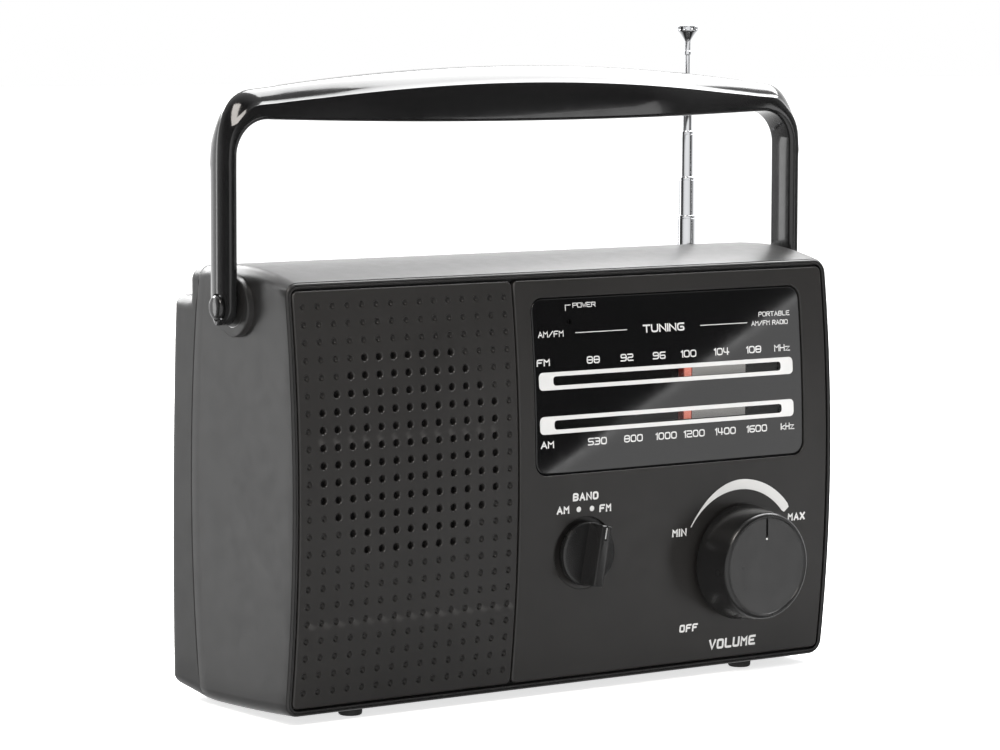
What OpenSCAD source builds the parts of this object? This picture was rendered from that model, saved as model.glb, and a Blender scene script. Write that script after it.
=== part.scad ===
// Portable AM/FM tabletop radio with a fold-over handle and a telescopic aerial.
// Millimetres, +Z up, front face towards -Y. The origin is the middle of the
// footprint, on the surface that the feet stand on.
//
// Inside the modules everything is drawn in the case frame: x = 0 at the middle
// of the case, y = 0 at the foremost line of the bowed front, growing to the
// rear, z = 0 at mid height of the front panels. in_case() moves it to the origin.

/* [Case] */
// Width of the case
case_w = 239; // [236:0.5:242]
// Height of the front frame
frame_h = 148.2; // [148:0.1:149]
// Radius of the bow of the front face, seen from the side
bow_r = 530; // [480:10:600]
// Depth from the front line to the seam of the two half shells
seam_depth = 66; // [64:0.5:67]
// Depth from the front line to the rear wall
case_depth = 82; // [81.5:0.5:84]
// Wall thickness of the shells
wall = 2.2; // [2:0.1:2.4]
// Radius of the long edges of the case
corner_r = 5; // [4:0.5:8]

/* [Panels] */
// Width of the grille panel
grille_w = 91.7; // [91:0.1:92]
// Height of both front panels
panel_h = 143; // [142:0.5:143.4]
// Thickness of both front panels
panel_t = 2.4; // [2.2:0.1:2.6]
// Spacing of the grille holes
hole_pitch = 6; // [5.8:0.1:6]
// Diameter of a grille hole
hole_d = 2.4; // [1.8:0.1:2.8]

/* [Controls] */
// Radius of the volume knob at its foot
volume_r = 21.3; // [19:0.1:21.6]
// Radius of the volume knob's face
volume_face_r = 19.5; // [17:0.1:20]
// Radius of the band knob
band_r = 11.6; // [10:0.1:11.6]
// Radius of the tuning knob
tuning_r = 15; // [12:0.5:16]
// Radius of every control shaft
shaft_r = 3; // [2.8:0.1:3.1]
// Radius of the cord on the tuning drum
drum_r = 26; // [25:0.5:26]

/* [Handle] */
// Outer width of the handle
handle_w = 256; // [254:0.5:257]
// Thickness of a handle arm
arm_t = 5.1; // [4.6:0.1:5.2]
// Width of a handle arm
arm_w = 12.4; // [11:0.2:13]
// Height of the top of the grip above the pivot
grip_rise = 81.8; // [78:0.2:84]

/* [Aerial] */
// Outer diameters of the five tubes, widest first
tube_d = [7, 6, 5, 4, 3];
// How far each tube stands out of the one around it, the first above the ledge
tube_out = [21.6, 14.8, 17.5, 9.4, 9.5];
// Length of the widest tube; each next one is 2 shorter
tube_len = 112; // [104:1:114]

/* [Hidden] */
$fn = 64;
fine = 720;              // facets of the big bow cylinder
gap = 0.3;               // clearance between pieces that move past each other
fit = 0.05;              // radial clearance of a running fit

// Case frame
knob_reach = 16;         // how far the volume knob stands out in front of y = 0
mid_y = (case_depth - knob_reach) / 2;
half_w = case_w / 2;
half_h = frame_h / 2;
crown_y = 38;            // where the top is highest
crown_z = half_h + 4.5;
step_y = 68.5;           // where the top steps down to the aerial ledge
ledge_z = 66.2;
belly_y = 58;            // where the underside is lowest
belly_z = -half_h - 1.8;
rear_bow_r = 1640;
rear_bow_z = -30;
sole_z = belly_z - 1.4;  // what the feet stand on
base_z = -sole_z;

// Panels
half_panel = panel_h / 2;
panel_x = half_w - 2.5;  // outer edge of both panels
seam_x = -panel_x + grille_w + 0.3;
rim_gap = 0.7;           // groove round the panels
ledge_t = 2;             // ledge that the panels rest on

// Speaker, behind the middle of the open part of the grille
grille_x = (-panel_x + seam_x - 0.3) / 2;
rows = 23;
open_first = 3;          // first and last row with holes right through
open_last = 14;
speaker_z = ((rows - 1 - open_first - open_last) / 2) * hole_pitch;
speaker_r = 38.5;
flange_y = 6.6;
ear_r = 41;              // the four fixing ears stand on this radius

// Dial
lens_x = [-17.6, 105.8];
lens_z = [2.4, 64.8];
lens_border = 3;
lens_r = 5;
scale_x = [-15.5, 101.2];
fm_z = 35.6;
am_z = 20.2;
slot_h = 3.4;
pointer_x = 54.6;
needle_w = 4.2;
chassis_y = 10;
rail_y = 7.6;
rail_z = 51;
rail_r = 1.2;
led = [-0.9, 56.1];
led_y = 7;
led_r = 1.6;
bracket_x = [-17.2, 99.5];
bracket_w = 3;

// Tuning train: shaft along X, cord round the drum and four idlers
tuning_y = 40;
tuning_z = 20;
drum_x = 100;
cord_r = 0.35;
cord_y = 8;
cord_top = tuning_z + drum_r;
cord_bottom = tuning_z - drum_r;
idler_r = 4.5;           // radius of the cord on an idler
left_idler_x = -12;
right_idler_x = drum_x - idler_r;
right_idler_y = cord_y + idler_r;

// Front controls
volume_x = 75.5;
volume_z = -35.3;
band_x = 4.25;
band_z = -26.6;
band_turn = 10.7;        // the bar leans this far towards FM
board_y = 27;
board_t = 1.6;
posts = [[10, 0], [80, 0], [-12, -62], [84, -62]];

// Case screws: bosses of the front shell, [x, z]
bosses = [[-112.5, 46], [96, 62], [-112.5, -66], [111, -65]];
boss_r = 3.6;
boss_y = 8;              // the bosses start behind the panels

// Battery bay for four C cells in two rows
bay_x = [-104, -2];
bay_z = [-68, -15];
bay_y = 51;
bay_wall = 1.6;
door_edge = 1.5;         // the door opening is this much smaller than the bay

// Mains inlet and headphone socket
inlet_x = 60;
inlet_z = -14;
jack_y = 42;
jack_z = -30;

// Handle
pivot_y = 35.2;
pivot_z = 64.6;
pin_r = 3.5;
pivot_boss_r = 10.5;
arm_x = handle_w / 2;
grip_z = pivot_z + grip_rise;
arch = 0.00057;          // the grip's arch: its drop is arch * x * x
crown_drop = 5.8;        // from the ridge of the grip to its front edge
grip_h = 14;             // height of the grip's front face at the middle
grip_w = 18;             // depth of the grip at the middle

// Aerial
aerial_x = 107.7;
aerial_y = 72.9;
tube_wall = 0.45;
rod_out = 10.1;
rod_r = 1;

// Height of the top of aerial tube i, and its length
function tube_top(i) = i == 0 ? ledge_z + tube_out[0] : tube_top(i - 1) + tube_out[i];
function tube_l(i) = tube_len - 2 * i;

// The front face, the seam and the rear wall at height z
function face_y(z) = bow_r - sqrt(bow_r * bow_r - z * z);
function seam_y(z) = seam_depth - z * z / (2 * bow_r);
function rear_y(z) = case_depth - pow(z - rear_bow_z, 2) / (2 * rear_bow_r);

// The top and the underside at depth y
front_y = face_y(half_h);
function top_z(y) = y < crown_y
    ? crown_z - (crown_z - half_h) * pow((crown_y - y) / (crown_y - front_y), 2)
    : crown_z - 0.0024 * pow(y - crown_y, 2);
function under_z(y) = y < belly_y
    ? belly_z - (belly_z + half_h) * pow((belly_y - y) / (belly_y - front_y), 2)
    : belly_z + 0.15 * (y - belly_y);
function arc(y, z, r, a0, a1, n = 5) =
    [for (i = [0:n]) let (a = a0 + (a1 - a0) * i / n) [y + r * cos(a), z + r * sin(a)]];

// Outline of the case from the side, as (y, z), from the lower front edge upwards
step_r = 5;
ledge_r = 3;
foot_r = 4;
steps = 12;
outline = concat(
    [for (i = [0:steps]) let (z = -half_h + 2 * half_h * i / steps) [face_y(z), z]],
    [for (i = [1:9]) let (y = front_y + (step_y - step_r - front_y) * i / 9) [y, top_z(y)]],
    arc(step_y - step_r, top_z(step_y - step_r) - step_r, step_r, 72, 0),
    [[step_y, ledge_z]],
    arc(rear_y(ledge_z) - ledge_r, ledge_z - ledge_r, ledge_r, 90, 0),
    [for (z = [40, 10, -20, -50]) [rear_y(z), z]],
    arc(rear_y(-69) - foot_r, -69, foot_r, 0, -90),
    [for (i = [8:-1:1]) let (y = front_y + 72 * i / 8) [y, under_z(y)]]
);

module in_case() translate([0, -mid_y, base_z]) children();

// Extrusions along X of a drawing in (y, z), and along Y of a drawing in (x, z)
module along_x(x0, x1) translate([x0, 0, 0]) rotate([90, 0, 90]) linear_extrude(x1 - x0) children();
module along_y(y0, y1) translate([0, y1, 0]) rotate([90, 0, 0]) linear_extrude(y1 - y0) children();
module rod_x(x0, x1, r, y, z) translate([x0, y, z]) rotate([0, 90, 0]) cylinder(h = x1 - x0, r = r);
module rod_y(y0, y1, r, x, z) translate([x, y0, z]) rotate([-90, 0, 0]) cylinder(h = y1 - y0, r = r);
module rod_z(z0, z1, r, x, y) translate([x, y, z0]) cylinder(h = z1 - z0, r = r);
module block(x, y, z) translate([x[0], y[0], z[0]]) cube([x[1] - x[0], y[1] - y[0], z[1] - z[0]]);

// A profile of (radius, depth) points turned about an axis along Y, or along X
module turned_y(profile, x, z) translate([x, 0, z]) rotate([-90, 0, 0]) rotate_extrude() polygon(profile);
module turned_x(profile, y, z) translate([0, y, z]) rotate([0, 90, 0]) rotate_extrude() polygon(profile);

// Rectangle with round corners, exact
module rounded(w, h, r) {
    square([w - 2 * r, h], center = true);
    square([w, h - 2 * r], center = true);
    for (x = [-1, 1], z = [-1, 1]) translate([x * (w / 2 - r), z * (h / 2 - r)]) circle(r);
}

// Rectangle over these two ranges, with its corners in short straight steps
module soft_rect(x, z, r) polygon(concat(
    arc(x[1] - r, z[1] - r, r, 0, 90, 8), arc(x[0] + r, z[1] - r, r, 90, 180, 8),
    arc(x[0] + r, z[0] + r, r, 180, 270, 8), arc(x[1] - r, z[0] + r, r, 270, 360, 8)));

// The whole case as one solid, smaller all round by inset
module case_solid(inset = 0) {
    top = crown_z - inset;
    bottom = belly_z + inset;
    intersection() {
        along_x(-half_w + inset, half_w - inset) offset(delta = -inset) polygon(outline);
        along_y(-5, case_depth + 5) translate([0, (top + bottom) / 2])
            rounded(case_w - 2 * inset, top - bottom, corner_r - inset);
    }
}

// Everything in front of the seam
module front_part() along_x(-half_w - 5, half_w + 5) polygon(concat(
    [[-30, -90]], [for (z = [-90:10:90]) [seam_y(z), z]], [[-30, 90]]));

module shell() difference() {
    case_solid();
    case_solid(wall);
}

// Solid behind the bowed front face, d behind it
module bow(x0, x1, d) translate([x0, bow_r, 0]) rotate([0, 90, 0])
    cylinder(h = x1 - x0, r = bow_r - d, $fn = fine);

// A bowed sheet that follows the front face, from depth d0 to d1 behind it
module sheet(x, z, d0, d1) intersection() {
    difference() {
        bow(x[0], x[1], d0);
        bow(x[0] - 1, x[1] + 1, d1);
    }
    block(x, [-6, 60], z);
}

// The same sheet with round corners
module round_sheet(x, z, d0, d1, r) intersection() {
    sheet([x[0] - 2, x[1] + 2], [z[0] - 2, z[1] + 2], d0, d1);
    along_y(-5, 50) soft_rect(x, z, r);
}

// ---------------------------------------------------------------- case

// Rib from a screw boss to the nearest wall
module boss_rib(b, y0) {
    if (abs(b[0]) > 100)
        block(b[0] > 0 ? [b[0], half_w] : [-half_w, b[0]], [y0, case_depth], [b[1] - 1, b[1] + 1]);
    else
        block([b[0] - 1, b[0] + 1], [y0, case_depth], [b[1], crown_z]);
}

module front_case() color("#2b2b2d") in_case() difference() {
    union() {
        intersection() {
            shell();
            front_part();
        }
        intersection() {
            case_solid(0.5);
            difference() {
                sheet([-half_w, half_w], [-half_h, half_h], panel_t, panel_t + ledge_t);
                block([-112, seam_x - 2], [-6, 60], [-67, 67]);
                block([seam_x + 2, 112], [-6, 60], [-67, 67]);
            }
        }
        intersection() {
            case_solid(0.5);
            front_part();
            union() for (b = bosses) {
                rod_y(boss_y, case_depth, boss_r, b[0], b[1]);
                boss_rib(b, boss_y);
            }
        }
        for (s = [-1, 1])
            rod_x(s * (half_w + 1.2) - 1.25, s * (half_w + 1.2) + 1.25, pivot_boss_r, pivot_y, pivot_z);
    }
    sheet([-panel_x - rim_gap, panel_x + rim_gap], [-half_panel - rim_gap, half_panel + rim_gap],
        -3, panel_t);
    for (b = bosses) rod_y(44, 80, 1.3, b[0], b[1]);
    rod_x(-half_w - 5, half_w + 5, pin_r, pivot_y, pivot_z);
    rod_x(half_w - 3, half_w + 5, 5.5, tuning_y, tuning_z);
    rod_x(half_w - 3, half_w + 5, 4, jack_y, jack_z);
    for (x = [-87.3, 87.3]) rod_z(-90, -73.6, 5, x, 14);
}

module rear_case() color("#2a2a2c") in_case() difference() {
    union() {
        difference() {
            shell();
            front_part();
        }
        intersection() {
            case_solid(0.5);
            difference() {
                union() for (b = bosses) {
                    rod_y(20, case_depth, boss_r, b[0], b[1]);
                    boss_rib(b, 20);
                }
                front_part();
            }
        }
        difference() {
            intersection() {
                case_solid(0.5);
                union() for (x = [46, 80]) block([x, x + 2], [55, 69], [-76, -71]);
            }
            front_part();
        }
    }
    block([bay_x[0] + door_edge, bay_x[1] - door_edge], [70, 90],
        [bay_z[0] + door_edge, bay_z[1] - door_edge]);
    block([inlet_x - 10, inlet_x + 10], [70, 90], [inlet_z - 6, inlet_z + 6]);
    for (b = bosses) {
        rod_y(40, 90, 1.7, b[0], b[1]);
        rod_y(73, 90, 3.1, b[0], b[1]);
    }
    rod_z(60, 70, 4.2, aerial_x, aerial_y);
    for (x = [-87.3, 87.3]) rod_z(-90, -73.6, 5, x, 68);
}

module case_screws() color("#b9bcc0") in_case() for (b = bosses) {
    rod_y(46, 73, 1.25, b[0], b[1]);
    rod_y(73, 75, 2.9, b[0], b[1]);
}

module feet() color("#1c1c1c") in_case() for (x = [-87.3, 87.3], y = [14, 68])
    rod_z(sole_z, -73.6, 4.3, x, y);

// ---------------------------------------------------------------- panels

// How many columns on each side of the middle are open in row i
function open_half(i) = i < open_first || i > open_last ? -1
    : min(6, 3 + min(i - open_first, open_last - i));

module grille_panel() color("#303032") in_case() difference() {
    union() {
        sheet([-panel_x, seam_x - 0.3], [-half_panel, half_panel], 0, panel_t);
        for (sx = [-1, 1], sz = [-1, 1]) ear_post(sx, sz);
    }
    for (i = [open_first:open_last], j = [-open_half(i):open_half(i)])
        rod_y(-4, 12, hole_d / 2, grille_x + j * hole_pitch, ((rows - 1) / 2 - i) * hole_pitch);
    for (sx = [-1, 1], sz = [-1, 1]) rod_y(3.4, 9, 0.95, ear_x(sx), ear_z(sz));
}

function ear_x(s) = grille_x + s * ear_r * cos(45);
function ear_z(s) = speaker_z + s * ear_r * sin(45);

module ear_post(sx, sz) rod_y(2.6, flange_y, 3.2, ear_x(sx), ear_z(sz));

module control_panel() color("#303032") in_case() difference() {
    union() {
        sheet([seam_x + 0.3, panel_x], [-half_panel, half_panel], 0, panel_t);
        round_sheet([lens_x[0] - 1.6, lens_x[1] + 1.6], [lens_z[0] - 1.6, lens_z[1] + 1.6],
            panel_t - 0.5, panel_t + 0.6, lens_r + 1.6);
        for (p = posts) rod_y(face_y(p[1]) + 1.5, board_y, 2.5, p[0], p[1]);
        for (x = [-21.2, 109.2]) rod_y(2.2, chassis_y, 1.3, x, 25);
    }
    round_sheet([lens_x[0] - 0.2, lens_x[1] + 0.2], [lens_z[0] - 0.2, lens_z[1] + 0.2], -3, 1.7, lens_r);
    round_sheet([lens_x[0] + lens_border, lens_x[1] - lens_border],
        [lens_z[0] + lens_border, lens_z[1] - lens_border], -3, 6, lens_r - 2);
    rod_y(-3, 8, shaft_r + 0.6, volume_x, volume_z);
    rod_y(-3, 8, shaft_r + 0.6, band_x, band_z);
    rod_y(-3, face_y(band_z) + 0.9, band_r + 1.4, band_x, band_z);
    for (p = posts) rod_y(board_y - 9, board_y + 1, 1.1, p[0], p[1]);
}

module speaker_cloth() color("#18181a") in_case() difference() {
    intersection() {
        sheet([-panel_x + 4, seam_x - 4], [-50, 66], panel_t, panel_t + 0.4);
        rod_y(-1, 12, 40.5, grille_x, speaker_z);
    }
    for (sx = [-1, 1], sz = [-1, 1]) rod_y(-1, 12, 3.2, ear_x(sx), ear_z(sz));
}

module dial_lens() color("#0c0c0d") in_case() round_sheet(lens_x, lens_z, 0.4, 1.7, lens_r);

module dial_mask() color("#050505") in_case() difference() {
    round_sheet([lens_x[0] + lens_border, lens_x[1] - lens_border],
        [lens_z[0] + lens_border, lens_z[1] - lens_border], 1.7, 2, lens_r - 2);
    for (z = [fm_z, am_z]) along_y(-3, 9) translate([(scale_x[0] + scale_x[1]) / 2, z])
        rounded(scale_x[1] - scale_x[0] - 12, slot_h, slot_h / 2 - 0.1);
    rod_y(-3, 9, 0.9, led[0], led[1]);
}

// ---------------------------------------------------------------- dial drive

// Backing plate that carries the rail, the idlers and the lamp
module dial_chassis() color("#3a3a3c") in_case() difference() {
    union() {
        block([-23, 111], [chassis_y, chassis_y + 1.2], [-16, 60]);
        for (z = [cord_top - idler_r, cord_bottom + idler_r])
            rod_y(4.6, chassis_y + 0.5, 1.5, left_idler_x, z);
        for (z = [[52, 55], [-15, -12]])
            block([right_idler_x - 2.5, right_idler_x + 2.5], [chassis_y + 1, right_idler_y + 3], z);
        for (x = bracket_x)
            block([x, x + bracket_w], [rail_y - 1.8, chassis_y + 0.5], [rail_z - 2.4, rail_z + 2.4]);
    }
    block([right_idler_x - 6.5, right_idler_x + 6.5], [0, 20], [cord_top - 3, cord_top + 3]);
    block([right_idler_x - 6.5, right_idler_x + 6.5], [0, 20], [cord_bottom - 3, cord_bottom + 3]);
    for (p = posts) rod_y(0, 20, 2.5 + gap, p[0], p[1]);
    rod_x(-20, 105, rail_r, rail_y, rail_z);
    rod_z(-20, 58, 1.5, right_idler_x, right_idler_y);
    rod_y(0, 20, led_r, led[0], led[1]);
    rod_y(0, 20, boss_r + gap, bosses[1][0], bosses[1][1]);
}

module pointer_rail() color("#c4c7ca") in_case()
    rod_x(bracket_x[0], bracket_x[1] + bracket_w, rail_r, rail_y, rail_z);

// Slider on the rail, clipped round the cord, with the needle hanging in front
module pointer() color("#d8412f") in_case() difference() {
    union() {
        block([pointer_x - 3.2, pointer_x + 3.2], [5.4, chassis_y - gap], [43.6, 53.4]);
        block([pointer_x - needle_w / 2, pointer_x + needle_w / 2], [5.2, 8], [15, 45]);
    }
    rod_x(pointer_x - 5, pointer_x + 5, rail_r + fit, rail_y, rail_z);
    rod_x(pointer_x - 5, pointer_x + 5, cord_r + gap + 0.1, cord_y, cord_top);
}

module power_led() color("#a02018") in_case() {
    rod_y(led_y, led_y + 3, led_r, led[0], led[1]);
    translate([led[0], led_y, led[1]]) sphere(led_r);
}

// Idler pulley: a grooved disc with a running bore, on an axis along Z or Y
module idler(width = 3) rotate_extrude() polygon([
    [1.5 + fit, -width / 2], [idler_r + 0.9, -width / 2], [idler_r + 0.9, -width / 2 + 0.5],
    [idler_r - cord_r - gap, -0.6], [idler_r - cord_r - gap, 0.6], [idler_r + 0.9, width / 2 - 0.5],
    [idler_r + 0.9, width / 2], [1.5 + fit, width / 2]]);

module upright_idler(z) color("#d9d4c4") in_case() translate([right_idler_x, right_idler_y, z]) idler();
module flat_idler(z) color("#d9d4c4") in_case()
    translate([left_idler_x, cord_y, z]) rotate([90, 0, 0]) idler();

module idler_top_right() upright_idler(cord_top);
module idler_bottom_right() upright_idler(cord_bottom);
module idler_top_left() flat_idler(cord_top - idler_r);
module idler_bottom_left() flat_idler(cord_bottom + idler_r);

module idler_axle() color("#b9bcc0") in_case() rod_z(-15, 55, 1.5, right_idler_x, right_idler_y);

// Quarter turn of cord in the plane of the local X and Y axes
module cord_bend(r, a0, a1) rotate([0, 0, a0]) rotate_extrude(angle = a1 - a0)
    translate([r, 0]) circle(cord_r, $fn = 16);

module dial_cord() color("#c9b58a") in_case() {
    left_x = left_idler_x - idler_r;
    for (z = [cord_top, cord_bottom]) {
        rod_x(left_idler_x, right_idler_x, cord_r, cord_y, z);
        rod_y(right_idler_y, tuning_y, cord_r, drum_x, z);
        translate([right_idler_x, right_idler_y, z]) cord_bend(idler_r, -90, 0);
    }
    rod_z(cord_bottom + idler_r, cord_top - idler_r, cord_r, left_x, cord_y);
    for (turn = [[cord_top - idler_r, 90], [cord_bottom + idler_r, 180]])
        translate([left_idler_x, cord_y, turn[0]]) rotate([90, 0, 0])
            cord_bend(idler_r, turn[1], turn[1] + 90);
    translate([drum_x, tuning_y, tuning_z]) rotate([90, 0, 90]) cord_bend(drum_r, -90, 90);
}

module cord_drum() color("#d9d4c4") in_case() difference() {
    turned_x([
        [shaft_r, drum_x - 2.5], [8, drum_x - 2.5], [8, drum_x - 1], [drum_r - 4, drum_x - 1],
        [drum_r - 4, drum_x - 2.2], [drum_r + 1, drum_x - 2.2], [drum_r + 1, drum_x - 1.6],
        [drum_r - cord_r - gap, drum_x - 0.7], [drum_r - cord_r - gap, drum_x + 0.7],
        [drum_r + 1, drum_x + 1.6], [drum_r + 1, drum_x + 2.2], [drum_r - 4, drum_x + 2.2],
        [drum_r - 4, drum_x + 1], [8, drum_x + 1], [8, drum_x + 2.5], [shaft_r, drum_x + 2.5]],
        tuning_y, tuning_z);
    for (a = [45:90:315])
        rod_x(drum_x - 5, drum_x + 5, 4.5, tuning_y + 15 * cos(a), tuning_z + 15 * sin(a));
}

module tuning_shaft() color("#b9bcc0") in_case() rod_x(79, half_w + 6, shaft_r, tuning_y, tuning_z);

module tuning_capacitor() color("#e3e0d6") in_case() difference() {
    union() {
        block([73, 95], [board_y + board_t, board_y + board_t + 22.8], [tuning_z - 11.4, tuning_z + 11.4]);
        rod_x(95, 97, 4.5, tuning_y, tuning_z);
    }
    rod_x(78, 99, shaft_r + fit, tuning_y, tuning_z);
}

module tuning_bush() color("#cfc9b8") in_case() difference() {
    union() {
        rod_x(half_w - wall - 1.5, half_w - wall, 8, tuning_y, tuning_z);
        rod_x(half_w - wall, half_w, 5.5, tuning_y, tuning_z);
    }
    rod_x(half_w - 10, half_w + 5, shaft_r + fit, tuning_y, tuning_z);
}

module tuning_knob() color("#1b1b1d") in_case() difference() {
    turned_x([[0, half_w + 1], [tuning_r, half_w + 1], [tuning_r - 0.6, half_w + 7],
        [tuning_r - 1.6, half_w + 8], [0, half_w + 8]], tuning_y, tuning_z);
    rod_x(half_w, half_w + 6, shaft_r, tuning_y, tuning_z);
    for (a = [0:15:345])
        rod_x(half_w, half_w + 10, 0.7, tuning_y + tuning_r * cos(a), tuning_z + tuning_r * sin(a));
}

// ---------------------------------------------------------------- front controls

module volume_knob() color("#1b1b1d") in_case() difference() {
    turned_y([[0, -knob_reach + 0.4], [volume_face_r - 2.4, -knob_reach + 0.4],
        [volume_face_r - 1.9, -knob_reach], [volume_face_r - 0.8, -knob_reach],
        [volume_face_r, -knob_reach + 1.2], [volume_r, -0.9], [0, -0.9]], volume_x, volume_z);
    turned_y([[5.5, -13], [volume_r - 3, -10], [volume_r - 2.4, 0], [5.5, 0]], volume_x, volume_z);
    rod_y(-13, 0, shaft_r, volume_x, volume_z);
    block([volume_x - 0.5, volume_x + 0.5], [-20, -knob_reach + 0.9], [volume_z + 9.4, volume_z + 18]);
}

module volume_shaft() color("#b9bcc0") in_case() rod_y(-13, 23, shaft_r, volume_x, volume_z);

// Body of a rotary control: a drum on the board and a threaded neck
module rotary_body(x, z, r, neck) difference() {
    union() {
        rod_y(17, board_y, r, x, z);
        rod_y(neck, 17, 3.9, x, z);
    }
    rod_y(0, 24, shaft_r + fit, x, z);
}

module volume_pot() color("#9a7b45") in_case() rotary_body(volume_x, volume_z, 8.5, 11);
module band_switch() color("#7d7f82") in_case() rotary_body(band_x, band_z, 9, 12);

module band_knob() color("#1b1b1d") in_case() difference() {
    union() {
        rod_y(-2.6, 0.6, band_r, band_x, band_z);
        translate([band_x, 0, band_z]) rotate([0, band_turn, 0]) intersection() {
            block([-2.2, 2.2], [-10.5, -1], [-band_r, band_r]);
            rod_y(-12, 2, band_r - 0.5, 0, 0);
        }
    }
    rod_y(-7, 5, 2, band_x, band_z);
    translate([band_x, 0, band_z]) rotate([0, band_turn, 0]) block([-0.5, 0.5], [-12, -9.9], [4, 12]);
}

module band_shaft() color("#b9bcc0") in_case() {
    rod_y(-7, 0.6, 2, band_x, band_z);
    rod_y(0.6, 23, shaft_r, band_x, band_z);
}

// ---------------------------------------------------------------- electronics

module main_board() color("#8a6a35") in_case() difference() {
    block([-18, 94], [board_y, board_y + board_t], [-66, 40]);
    for (p = posts) rod_y(board_y - 1, board_y + 5, 1.5, p[0], p[1]);
}

module board_screws() color("#b9bcc0") in_case() for (p = posts) {
    rod_y(board_y - 8, board_y + board_t, 1.05, p[0], p[1]);
    rod_y(board_y + board_t, board_y + board_t + 1.6, 2.6, p[0], p[1]);
}

module on_board(x, z, size) block([x, x + size[0]], [board_y + board_t, board_y + board_t + size[1]],
    [z, z + size[2]]);

module if_cans() color("#b7babd") in_case() for (i = [0:3]) on_board(2 + 15 * i, 20, [10, 13, 10]);

module electrolytics() color("#22355e") in_case()
    for (p = [[-8, -30, 5], [8, -34, 4], [22, -30, 4], [66, -12, 4]])
        rod_y(board_y + board_t, board_y + board_t + 2.6 * p[2], p[2], p[0], p[1]);

module ferrite_rod() color("#3b3835") in_case() rod_x(-86, 34, 5, 50, 58);

module ferrite_coil() color("#b0692c") in_case() difference() {
    rod_x(-20, 12, 6.6, 50, 58);
    rod_x(-21, 13, 5, 50, 58);
}

module ferrite_holders() color("#d9d4c4") in_case() difference() {
    intersection() {
        case_solid(wall);
        union() for (x = [-80, 24]) block([x, x + 4], [44, 56], [50, 80]);
    }
    rod_x(-90, 40, 5, 50, 58);
}

// ---------------------------------------------------------------- speaker

module speaker_basket() color("#8e9194") in_case() difference() {
    union() {
        turned_y([[speaker_r, flange_y], [speaker_r, 8], [35.2, 8], [25, 24], [25, 25.4],
            [9, 25.4], [9, 24], [23.6, 24], [33.8, flange_y]], grille_x, speaker_z);
        difference() {
            for (sx = [-1, 1], sz = [-1, 1]) rod_y(flange_y, 8, 4.2, ear_x(sx), ear_z(sz));
            rod_y(0, 12, 34.6, grille_x, speaker_z);
        }
    }
    for (a = [0:90:270])
        translate([grille_x, 0, speaker_z]) rotate([0, a, 0]) block([20, 40], [11, 21], [-9, 9]);
    for (sx = [-1, 1], sz = [-1, 1]) rod_y(0, 12, 1.5, ear_x(sx), ear_z(sz));
}

module speaker_magnet() color("#4a4a4c") in_case() turned_y([
    [4, 25.4], [20, 25.4], [20, 27.4], [22.5, 27.4], [22.5, 35.4], [20, 35.4], [20, 37.4],
    [4, 37.4]], grille_x, speaker_z);

module speaker_cone() color("#1f1f20") in_case() turned_y([
    [37, 6], [37, flange_y], [32.6, flange_y], [31.4, 8.2], [10, 20.6], [10, 20], [30.8, 7.4],
    [32, 6]], grille_x, speaker_z);

module dust_cap() color("#151516") in_case() turned_y(concat(
    [for (a = [0:10:50]) [13 * sin(a), 29.4 - 13 * cos(a)]],
    [for (a = [50:-10:0]) [12.5 * sin(a), 29.4 - 12.5 * cos(a)]]), grille_x, speaker_z);

module speaker_screws() color("#b9bcc0") in_case() for (sx = [-1, 1], sz = [-1, 1]) {
    rod_y(3.6, 8, 0.9, ear_x(sx), ear_z(sz));
    rod_y(8, 9.4, 2.4, ear_x(sx), ear_z(sz));
}

// ---------------------------------------------------------------- power

core_x = [44, 84];
core_y = [54, 70];
core_z = [-71, -38];

module transformer_core() color("#6f7173") in_case() difference() {
    block(core_x, core_y, core_z);
    for (x = [50.5, 70.5]) block([x, x + 7], [50, 75], [core_z[0] + 6, core_z[1] - 6]);
}

module transformer_winding() color("#c9a13a") in_case() difference() {
    block([51, 77], [49, 75], [core_z[0] + 6.5, core_z[1] - 6.5]);
    block([57.5, 70.5], core_y, [core_z[0], core_z[1]]);
}

// Figure-eight appliance inlet, flush in the rear wall
module mains_inlet() color("#111112") in_case() difference() {
    union() {
        block([inlet_x - 10, inlet_x + 10], [79, rear_y(inlet_z)], [inlet_z - 6, inlet_z + 6]);
        block([inlet_x - 11, inlet_x + 11], [62, 79], [inlet_z - 7, inlet_z + 7]);
    }
    along_y(66, 90) translate([inlet_x, inlet_z]) rounded(17.2, 8.4, 4.1);
}

module inlet_pins() color("#c4c7ca") in_case() for (s = [-1, 1])
    rod_y(66, 78, 1.18, inlet_x + s * 4.3, inlet_z);

module headphone_jack() color("#151516") in_case() difference() {
    union() {
        block([104, half_w - wall], [jack_y - 6, jack_y + 6], [jack_z - 6, jack_z + 6]);
        rod_x(half_w - wall, half_w, 4, jack_y, jack_z);
    }
    rod_x(106, half_w + 5, 1.8, jack_y, jack_z);
}

module battery_tray() color("#2f2f31") in_case() intersection() {
    case_solid(wall);
    difference() {
        block([bay_x[0] - bay_wall, bay_x[1] + bay_wall], [bay_y - bay_wall, 90],
            [bay_z[0] - bay_wall, bay_z[1] + bay_wall]);
        block(bay_x, [bay_y, 95], bay_z);
    }
}

module battery_door() color("#2a2a2c") in_case() intersection() {
    shell();
    block([bay_x[0] + door_edge + gap, bay_x[1] - door_edge - gap], [74, 90],
        [bay_z[0] + door_edge + gap, bay_z[1] - door_edge - gap]);
}

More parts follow.
